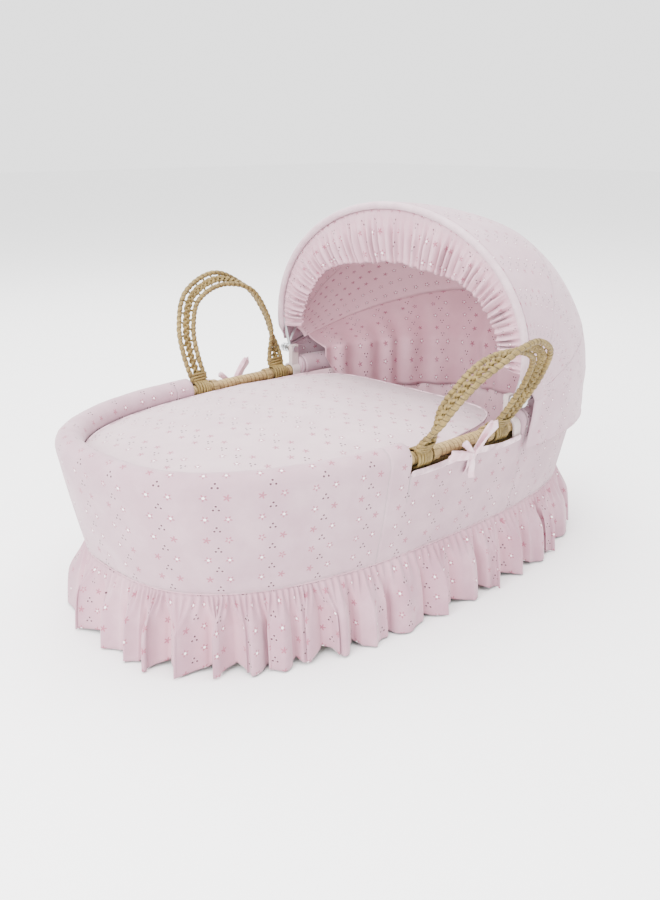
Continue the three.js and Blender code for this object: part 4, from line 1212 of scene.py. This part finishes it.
class BASKET_OT_ribbons(bpy.types.Operator):
    """Ribbon ties over the middle of each handle opening"""

    bl_idname = "moses_basket.ribbons"
    bl_label = "Ribbon ties"
    # way along the rim, length, rise in degrees, size
    LOOPS = ((-1, 0.052, 16, 1.0), (1, 0.050, 40, 0.9), (-1, 0.030, 52, 0.6))
    # way along the rim, length, splay in degrees
    TAILS = ((-1, 0.024, 14), (1, 0.036, 20))

    def execute(self, context):
        s = context.scene.moses_basket
        look = plain_cotton("Ribbon", s.ribbon, s.ribbon_shade)
        for name, sign in SIDES.items():
            x0 = -0.012
            station = RIM.station(x0, sign)
            out = RIM.out(station)
            knot = on_cover(station, opening_top(x0) - 0.003) + out * 0.0052
            bm = bmesh.new()
            for way, length, rise, size in self.LOOPS:
                lift = math.radians(rise)
                heading = ALONG * (way * math.cos(lift)) + UP * math.sin(lift) + out * 0.12
                side = (UP * math.cos(lift) - ALONG * (way * math.sin(lift))).normalized()
                path, across = [], []
                for i in range(33):
                    t = i / 32
                    reach = math.sin(math.pi * t) ** 0.8 * length
                    sway = 0.004 * math.sin(math.pi * t) * way
                    stand = math.cos(math.pi * t) * 0.0036 * size + 0.001
                    path.append(knot + heading * reach + out * stand + side * sway)
                    tilt = 0.5 * math.sin(FULL_TURN * t + 0.4 * way)
                    across.append((side * math.cos(tilt) + out * math.sin(tilt)).normalized())

                def width(t, size=size):
                    return (0.005 + 0.0095 * math.sin(math.pi * t) ** 0.6) * size + 0.001

                strip_into(bm, path, across, width)
            for way, length, splay in self.TAILS:
                path, across = [], []
                for i in range(17):
                    t = i / 16
                    fall = math.radians(splay) * way
                    point = on_cover(station, opening_top(x0) - 0.004 - length * t)
                    bend = math.sin(t * 4.4 + way) * 0.0014
                    stand = 0.0042 - 0.0016 * t + bend
                    path.append(point + out * stand + ALONG * math.tan(fall) * length * t)
                    across.append((ALONG * math.cos(0.5 * t) + out * math.sin(0.5 * t) * way).normalized())
                strip_into(bm, path, across, lambda t: mix(0.0052, 0.0096, smooth(0, 0.4, t)))
            bmesh.ops.recalc_face_normals(bm, faces=bm.faces)
            bmesh.ops.solidify(bm, geom=bm.faces[:], thickness=0.0007)
            strips = from_bmesh(f"{name}_ribbon_loops", bm, look)
            bm = bmesh.new()
            centres = []
            for i in range(17):
                t = i / 16
                centres.append((knot + UP * mix(0.0062, -0.0062, t), ALONG, out))

            def radii(column, turn):
                full = math.sqrt(max(0.0, 1 - (column / 8 - 1) ** 2)) ** 0.6
                return 0.0058 * full * (1 + 0.1 * math.cos(turn * 5 + column)), 0.0044 * full

            tube_into(bm, centres, radii, 20)
            finish_solid(bm)
            knot_piece = from_bmesh(f"{name}_ribbon_knot", bm, look)
            for part in (strips, knot_piece):
                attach(part, "basket")
            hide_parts(f"{name}_ribbon_bow")
        return {"FINISHED"}


# ------------------------------------------------------------------ palm
def handle_line(steps):
    """Evenly spaced points up one leg of a handle and down the other, in its own plane, with headings."""
    foot = (HANDLE_SPAN, 0.0134)
    half = [foot] + [(HANDLE_BULGE * a, HANDLE_TOP * b) for a, b in ((1, 0.34), (0.96, 0.6), (0.68, 0.87))]
    knots = [Vector((-x, z)) for x, z in half] + [Vector((0, HANDLE_TOP))]
    knots += [Vector((x, z)) for x, z in reversed(half)]
    fine = []
    for i in range(len(knots) - 1):
        p0 = knots[i - 1] if i else knots[0] * 2 - knots[1]
        p3 = knots[i + 2] if i + 2 < len(knots) else knots[-1] * 2 - knots[-2]
        p1, p2 = knots[i], knots[i + 1]
        for j in range(60):
            t = j / 60
            fine.append(0.5 * ((2 * p1) + (p2 - p0) * t + (2 * p0 - 5 * p1 + 4 * p2 - p3) * t * t
                               + (3 * p1 - p0 - 3 * p2 + p3) * t ** 3))
    fine.append(knots[-1])
    walked = [0.0]
    for a, b in zip(fine, fine[1:]):
        walked.append(walked[-1] + (b - a).length)
    line, at = [], 0
    for i in range(steps + 1):
        want = walked[-1] * i / steps
        while at < len(walked) - 2 and walked[at + 1] < want:
            at += 1
        share = (want - walked[at]) / (walked[at + 1] - walked[at])
        line.append((fine[at].lerp(fine[at + 1], share), (fine[at + 1] - fine[at]).normalized()))
    return line, walked[-1]


class BASKET_OT_handles(bpy.types.Operator):
    """Carry handles: a three-strand plait tied between two whipped cords, on sleeves round the rim rope"""

    bl_idname = "moses_basket.handles"
    bl_label = "Plaited handles"
    PITCH = 0.0085

    def execute(self, context):
        s = context.scene.moses_basket
        look = palm_leaf("Palm plait", s.palm, s.palm_dark)
        # the whipping's grooves get painted shade
        whipped = palm_leaf("Whipped palm", s.palm, s.palm_dark, self.PITCH)
        steps = 560
        line, length = handle_line(steps)
        for name, sign in SIDES.items():
            lean = math.radians(HANDLE_LEAN[name]) * sign
            hinge = RIM.at(RIM.station(HANDLE_MIDDLE_X - HANDLE_SPAN, sign), 0, 0)
            base = Vector((HANDLE_MIDDLE_X, hinge.y + 0.0004 * sign, RIM_HEIGHT))
            up = Vector((0, math.sin(lean), math.cos(lean)))
            flat = Vector((0, math.cos(lean), -math.sin(lean)))
            rng = random.Random(17 + sign)
            frames = []
            for i, (p, heading) in enumerate(line):
                t = i / steps
                middle = base + Vector((p.x, 0, 0)) + up * p.y
                normal = Vector((-heading.y, 0, 0)) + up * heading.x
                leg = t if name == "near" else 1 - t
                twist = math.radians(50) * sign * smooth(0.02, 0.16, leg) * (1 - smooth(0.34, 0.56, leg))
                twist += math.radians(16) * sign * math.sin(math.pi * t)
                across = normal * math.cos(twist) + flat * math.sin(twist)
                upright = flat * math.cos(twist) - normal * math.sin(twist)
                frames.append((middle, across, upright, heading))
            self.cords(name, frames, length, s, whipped)
            self.plait(name, frames, length, look, rng)
            self.sleeves(name, base, up, flat, look)
        return {"FINISHED"}

    def cords(self, name, frames, length, s, look):
        for part, away in (("outer", 0.0118), ("inner", -0.0118)):
            bm = bmesh.new()
            centres = [(m + a * away, a, u) for m, a, u, _ in frames]
            gap = length / (len(frames) - 1)

            def radii(column, turn):
                along = column * gap / self.PITCH + turn / FULL_TURN
                ridge = abs(math.sin(math.pi * along)) ** 0.7
                soft = 1 + 0.05 * ease(Vector((column * 0.05, 0, away * 900)))
                r = s.cord_radius * (0.74 + 0.34 * ridge) * soft
                return r, r

            tube_into(bm, centres, radii, 12)
            finish_solid(bm)
            piece = from_bmesh(f"{name}_{part}_whipped_cord", bm, look)
            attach(piece, f"{name}_handle")
            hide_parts(f"{name}_handle_{part}_cord")

    def plait(self, name, frames, length, look, rng):
        bm = bmesh.new()
        gap = length / (len(frames) - 1)
        period = 0.027
        for strand in range(3):
            centres = []
            for i, (m, a, u, _) in enumerate(frames):
                turn = FULL_TURN * (i * gap / period + strand / 3)
                centres.append((m + a * (0.0030 * math.sin(turn)) + u * (0.0020 * math.sin(2 * turn)), a, u))

            def radii(column, turn, strand=strand):
                rough = 1 + 0.12 * ease(Vector((column * 0.09, strand * 5, 1)))
                leaf = 1 + 0.10 * math.cos(turn * 4 + column * 0.15)
                return 0.0027 * rough * leaf, 0.0014 * rough * leaf

            tube_into(bm, centres, radii, 10)
        every = 0.0165
        count = int((length - 0.03) / every)
        for k in range(count):
            for way in (-1, 1):
                at = 0.015 + (k + (0.5 if way > 0 else 0.0)) * every + rng.uniform(-0.0012, 0.0012)
                i = min(len(frames) - 8, max(2, round(at / gap)))
                j = i + rng.choice((3, 5, -2))
                (m, a, u, _), (m2, a2, _, _) = frames[i], frames[max(0, j)]
                tie = []
                for step in range(6):
                    t = step / 5
                    middle = (m + a * (way * 0.0036)).lerp(m2 + a2 * (way * 0.0125), t)
                    tie.append((middle + u * (0.0024 * math.sin(math.pi * t)), a.cross(u), u))
                tube_into(bm, tie, lambda column, turn: (0.0017, 0.0011), 6)
        finish_solid(bm)
        piece = from_bmesh(f"{name}_three_strand_plait", bm, look)
        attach(piece, f"{name}_handle")
        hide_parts(f"{name}_handle_plait")

    def sleeves(self, name, base, up, flat, look):
        """Turns of palm round the rope at each foot, and the bundle that spreads up into the plait."""
        bm = bmesh.new()
        for way in (-1, 1):
            foot = base + Vector((way * HANDLE_SPAN, 0, 0))
            for k in range(6):
                x = (k - 2.5) * 0.0042
                middle = foot + Vector((x, 0, 0))
                ring = []
                for i in range(33):
                    a = FULL_TURN * i / 32
                    out = up * math.cos(a) + flat * math.sin(a)
                    sway = Vector((0.0012 * math.sin(a + k), 0, 0))
                    ring.append((middle + out * 0.0121 + sway, ALONG, out))
                tube_into(bm, ring, lambda column, turn: (0.0022, 0.0015), 8)
            for k in range(4):
                rise = 0.0125 + 0.0036 * k
                half = mix(0.0128, 0.0150, k / 3)
                ring = []
                for i in range(33):
                    a = FULL_TURN * i / 32
                    out = Vector((math.cos(a), 0, 0)) * half + flat * (math.sin(a) * 0.0050)
                    ring.append((foot + up * (rise + 0.0009 * math.sin(a + k)) + out, up, out.normalized()))
                tube_into(bm, ring, lambda column, turn: (0.0019, 0.0013), 8)
        finish_solid(bm)
        piece = from_bmesh(f"{name}_handle_sleeves", bm, look)
        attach(piece, f"{name}_handle")


class BASKET_OT_palm(bpy.types.Operator):
    """Rim rope whipped with leaf, lashings beside the handles, and the plaited wall and base"""

    bl_idname = "moses_basket.palm"
    bl_label = "Rim rope and wall"
    ROPE_TURNS = 264

    def execute(self, context):
        s = context.scene.moses_basket
        look = palm_leaf("Rope palm", s.rope, s.rope_dark_and_groove_shade, RIM.length / self.ROPE_TURNS)
        count = 1500
        bm = bmesh.new()
        centres = []
        for i in range(count + 1):
            out = RIM.out(i / count)
            centres.append((RIM.at(i / count, 0, RIM_HEIGHT), out, UP))
        def radii(column, turn):
            along = column / count * self.ROPE_TURNS + turn / FULL_TURN
            r = 0.0084 * (0.95 + 0.07 * abs(math.sin(math.pi * along)) ** 0.5)
            return r, r

        tube_into(bm, centres, radii, 16)
        finish_solid(bm)
        rope = from_bmesh("whipped_rim_rope", bm, look)
        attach(rope, "basket")
        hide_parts("rim_rope")
        for name, sign in SIDES.items():
            for end in ("foot", "head"):
                low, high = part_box(f"{name}_{end}_lashing")
                bm = bmesh.new()
                for k in range(4):
                    x = mix(low.x + 0.0014, high.x - 0.0014, k / 3)
                    station = RIM.station(x, sign)
                    out = RIM.out(station)
                    ring = []
                    for i in range(33):
                        a = FULL_TURN * i / 32
                        heading = out * math.cos(a) + UP * math.sin(a)
                        middle = RIM.at(station, 0, RIM_HEIGHT)
                        ring.append((middle + heading * 0.0101, out.cross(UP), heading))
                    tube_into(bm, ring, lambda column, turn: (0.0015, 0.0012), 8)
                finish_solid(bm)
                piece = from_bmesh(f"{name}_{end}_turns", bm, look)
                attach(piece, "basket")
                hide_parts(f"{name}_{end}_lashing")
        dress(["basket_wall", "basket_base"], plaited_palm("Plaited wall", s.palm, s.palm_dark))
        return {"FINISHED"}


def dress(nodes, look):
    for node in nodes:
        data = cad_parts[node].data
        data.materials.clear()
        data.materials.append(look)


class BASKET_OT_fittings(bpy.types.Operator):
    """Finishes of the moulded clips, pivot pins and wire bows"""

    bl_idname = "moses_basket.fittings"
    bl_label = "Hood fittings"

    def execute(self, context):
        s = context.scene.moses_basket
        dress(["near_hood_clip", "far_hood_clip"], moulded_plastic("Clip moulding", s.plastic))
        dress(["near_pivot_pin", "far_pivot_pin", "hood_front_bow", "hood_mid_bow", "hood_rear_bow"],
              plated_wire("Plated wire", s.wire))
        return {"FINISHED"}


class BASKET_OT_stage(bpy.types.Operator):
    """Pale floor, soft studio lights and the camera"""

    bl_idname = "moses_basket.stage"
    bl_label = "Studio"

    def execute(self, context):
        f = Finish("Studio paper", Roughness=0.9)
        grain = f.cloud(f.place(), 40.0, 2.0)
        f.feed(Base_Color=f.blend(grain, rgba((0.93, 0.93, 0.93)), rgba((0.95, 0.95, 0.95))))
        bm = bmesh.new()
        bmesh.ops.create_grid(bm, x_segments=8, y_segments=8, size=14)
        floor = from_bmesh("studio_floor", bm, f.material)
        world = bpy.data.worlds.new("Studio")
        context.scene.world = world
        world.use_nodes = True
        world.node_tree.nodes["Background"].inputs["Color"].default_value = (1.0, 1.0, 1.0, 1.0)
        world.node_tree.nodes["Background"].inputs["Strength"].default_value = 2.3
        lights = [
            ("Overhead", (0.0, 0.0, 3.2), 250.0, 3.6),
            ("Key", (-1.9, -0.4, 1.7), 44.0, 1.1),
            ("Fill", (1.2, -2.2, 1.3), 8.0, 1.8),
            ("Back", (0.6, 2.0, 2.2), 34.0, 1.8),
            ("Mouth", (-1.9, -0.6, 0.75), 34.0, 1.0),
        ]
        for name, place, power, size in lights:
            data = bpy.data.lights.new(name, "AREA")
            data.energy, data.size, data.color = power, size, (1.0, 0.99, 0.985)
            lamp = bpy.data.objects.new(name, data)
            context.scene.collection.objects.link(lamp)
            lamp.location = place
            lamp.rotation_mode = "QUATERNION"
            lamp.rotation_quaternion = (Vector(place) - Vector((0, 0, 0.2))).to_track_quat("Z", "Y")
        data = bpy.data.cameras.new("Camera")
        data.lens, data.sensor_width = 38.05, 36.0
        data.shift_x, data.shift_y = -0.0157, 0.0070
        camera = bpy.data.objects.new("Camera", data)
        context.scene.collection.objects.link(camera)
        turn, rise = math.radians(-44.2), math.radians(18.8)
        back = Vector((math.sin(turn) * math.cos(rise), -math.cos(turn) * math.cos(rise), math.sin(rise)))
        camera.location = Vector((0, 0, 0.150)) + back * 1.400
        camera.rotation_mode = "QUATERNION"
        camera.rotation_quaternion = back.to_track_quat("Z", "Y")
        context.scene.camera = camera
        return {"FINISHED"}


ORDER = [
    BASKET_OT_palm, BASKET_OT_rim, BASKET_OT_skirt, BASKET_OT_frill, BASKET_OT_bedding,
    BASKET_OT_hood, BASKET_OT_ribbons, BASKET_OT_handles, BASKET_OT_fittings, BASKET_OT_stage,
]


class BASKET_PT_panel(bpy.types.Panel):
    """Settings and build steps of the moses basket"""

    bl_idname = "BASKET_PT_panel"
    bl_label = "Moses Basket"
    bl_space_type = "VIEW_3D"
    bl_region_type = "UI"
    bl_category = "Moses Basket"

    def draw(self, context):
        settings = context.scene.moses_basket
        for key in BasketSettings.__annotations__:
            self.layout.prop(settings, key)
        for step in ORDER:
            self.layout.operator(step.bl_idname)


CLASSES = [BasketSettings, *ORDER, BASKET_PT_panel]


def register():
    for cls in CLASSES:
        bpy.utils.register_class(cls)
    bpy.types.Scene.moses_basket = PointerProperty(type=BasketSettings)


def unregister():
    del bpy.types.Scene.moses_basket
    for cls in reversed(CLASSES):
        bpy.utils.unregister_class(cls)


def main():
    register()
    for step in ORDER:
        group, name = step.bl_idname.split(".")
        result = getattr(getattr(bpy.ops, group), name)()
        if result != {"FINISHED"}:
            raise RuntimeError(f"{step.bl_label} did not finish")


if __name__ == "__main__":
    main()
